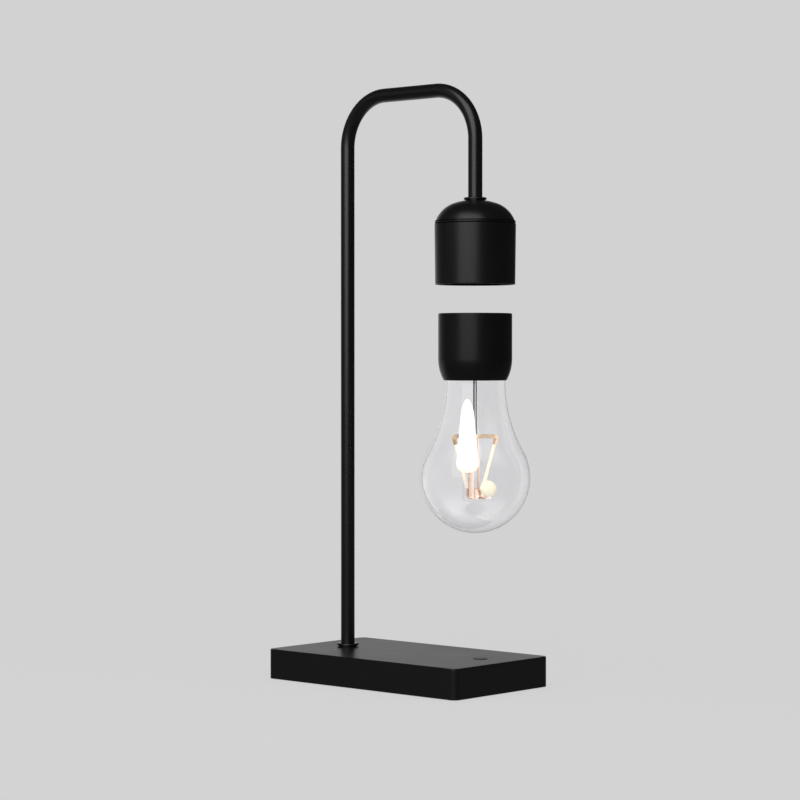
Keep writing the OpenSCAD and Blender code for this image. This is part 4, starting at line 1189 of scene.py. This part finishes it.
def floor_finish():
    """Floor that shows the backdrop's grey, with a share of plain lit floor near the lamp, so that the lamp's
    soft shadow stays on it. Mirrors see it dim, apart from its far part behind the lamp. Reflections in the
    glass find the studio's levels on it, and a painted glow near the lamp's front."""
    made = bpy.data.materials.new("studio_floor")
    tree = Tree(made, "ShaderNodeOutputMaterial")
    spot = tree.place()
    far = tree.node("ShaderNodeVectorMath", {"operation": "LENGTH"}, [spot], output=1)
    share = SHADOW_SHARE * (1 - tree.ramp(far, *SHADOW_R))
    straight, mirrored, in_glass = ray_shares(tree)
    from_bulb = tree.place(shift=(-BULB[0], -BULB[1], 0))
    way = tree.node("ShaderNodeVectorMath", {"operation": "NORMALIZE"}, [from_bulb])
    behind, right = along(tree, way, AWAY), along(tree, way, RIGHT)
    deep = tree.ramp(along(tree, spot, AWAY), *FAR_FLOOR)
    back = deep * tree.ramp(behind - FLOOR_TILT * right, *FLOOR_REACH)
    dim = BACKDROP * (DIM_FLOOR + (1 - DIM_FLOOR) * back)
    # painted glow: a pool of light on the floor near the lamp's front, seen only in reflections in the glass
    glow = (1 - tree.ramp(far, *GLOW_R)) * tree.ramp(0 - behind, *GLOW_FRONT)
    glass = mirrored_in_glass(tree, behind, right, 0) + GLASS_GLOW * glow
    level = BACKDROP * (1 + SHADOW_LIFT * share) * straight + dim * mirrored + glass * in_glass
    lit = tree.node("ShaderNodeBsdfDiffuse", inputs={0: grey(BACKDROP_LEVEL)})
    flat = tree.node("ShaderNodeEmission", inputs=[(1, 1, 1, 1), level])
    seen = rays(tree, "Camera", "Glossy")
    tree.end(tree.node("ShaderNodeMixShader", inputs=[seen * (1 - share), lit, flat]))
    return made


def world():
    """Backdrop grey to the camera and straight through glass. Mirrors see that grey low behind the lamp, a
    dim wall on the left and a dark room elsewhere. Surfaces are lit by an even ambient grey."""
    made = bpy.data.worlds.new("studio")
    bpy.context.scene.world = made
    tree = Tree(made, "ShaderNodeOutputWorld")
    way = tree.node("ShaderNodeTexCoord", output=0)
    behind, right, up = along(tree, way, AWAY), along(tree, way, RIGHT), along(tree, way, (0, 0, 1))
    left = tree.ramp(0 - right, *LEFT_REACH) * (1 - LEFT_FADE * tree.ramp(behind, *LEFT_END))
    wall = BACKDROP * tree.ramp(behind - WALL_TILT * right, *WALL_REACH) + LEFT_WALL * left
    room = ROOM + wall * (1 - tree.ramp(up, *ROOM_RISE))
    straight, mirrored, in_glass = ray_shares(tree)
    glass = mirrored_in_glass(tree, behind, right, up)
    ambient = AMBIENT * (1 - rays(tree, "Camera", "Glossy"))
    level = BACKDROP * straight + room * mirrored + glass * in_glass + ambient
    tree.end(tree.node("ShaderNodeBackground", inputs=[(1, 1, 1, 1), level]))


def soft_box(name, at, size, radiance, target):
    """Rectangular light at a place, turned to a target. Its power is radiance times pi times its area."""
    data = bpy.data.lights.new(name, "AREA")
    data.shape = "RECTANGLE"
    data.size, data.size_y = size
    data.energy = radiance * np.pi * size[0] * size[1]
    made = bpy.data.objects.new(name, data)
    bpy.context.scene.collection.objects.link(made)
    made.location = at
    made.rotation_euler = (Vector(target) - Vector(at)).to_track_quat("-Z", "Y").to_euler()
    made.visible_camera = False
    made.visible_transmission = False


KEY_TURN = np.radians(24)
KEY_RISE = np.radians(31)
KEY_FAR = 1.5
KEY_SIZE = (1.73, 2.02)
KEY_RADIANCE = 1.8
KEY_AIM_Z = 0.36
lit_middle = Vector((BULB[0], 0, KEY_AIM_Z))
towards_key = -(AWAY * np.cos(KEY_TURN) + RIGHT * np.sin(KEY_TURN)) * np.cos(KEY_RISE)
towards_key.z = np.sin(KEY_RISE)
soft_box("key", lit_middle + towards_key * KEY_FAR, KEY_SIZE, KEY_RADIANCE, lit_middle)
world()

floor_line = [(0, 0), (FLOOR_NEAR_R, 0), (FLOOR_R, 0), (FLOOR_R, -FLOOR_T), (0, -FLOOR_T)]
floor_mesh = mesh_of("floor", [(spun(floor_line, (0, 0)), False)])
floor_mesh.materials.append(floor_finish())
shown("floor", floor_mesh)

lens = bpy.data.cameras.new("camera")
lens.sensor_width = SENSOR
lens.lens = SENSOR * FOCAL_PX / FRAME_PX
lens.clip_end = VIEW_FAR
camera = bpy.data.objects.new("camera", lens)
bpy.context.scene.collection.objects.link(camera)
camera.location = CAMERA_AT
look = AWAY * np.cos(CAMERA_PITCH) - Vector((0, 0, np.sin(CAMERA_PITCH)))
camera.rotation_euler = look.to_track_quat("-Z", "Y").to_euler()
bpy.context.scene.camera = camera
bpy.context.scene.view_settings.view_transform = "Standard"
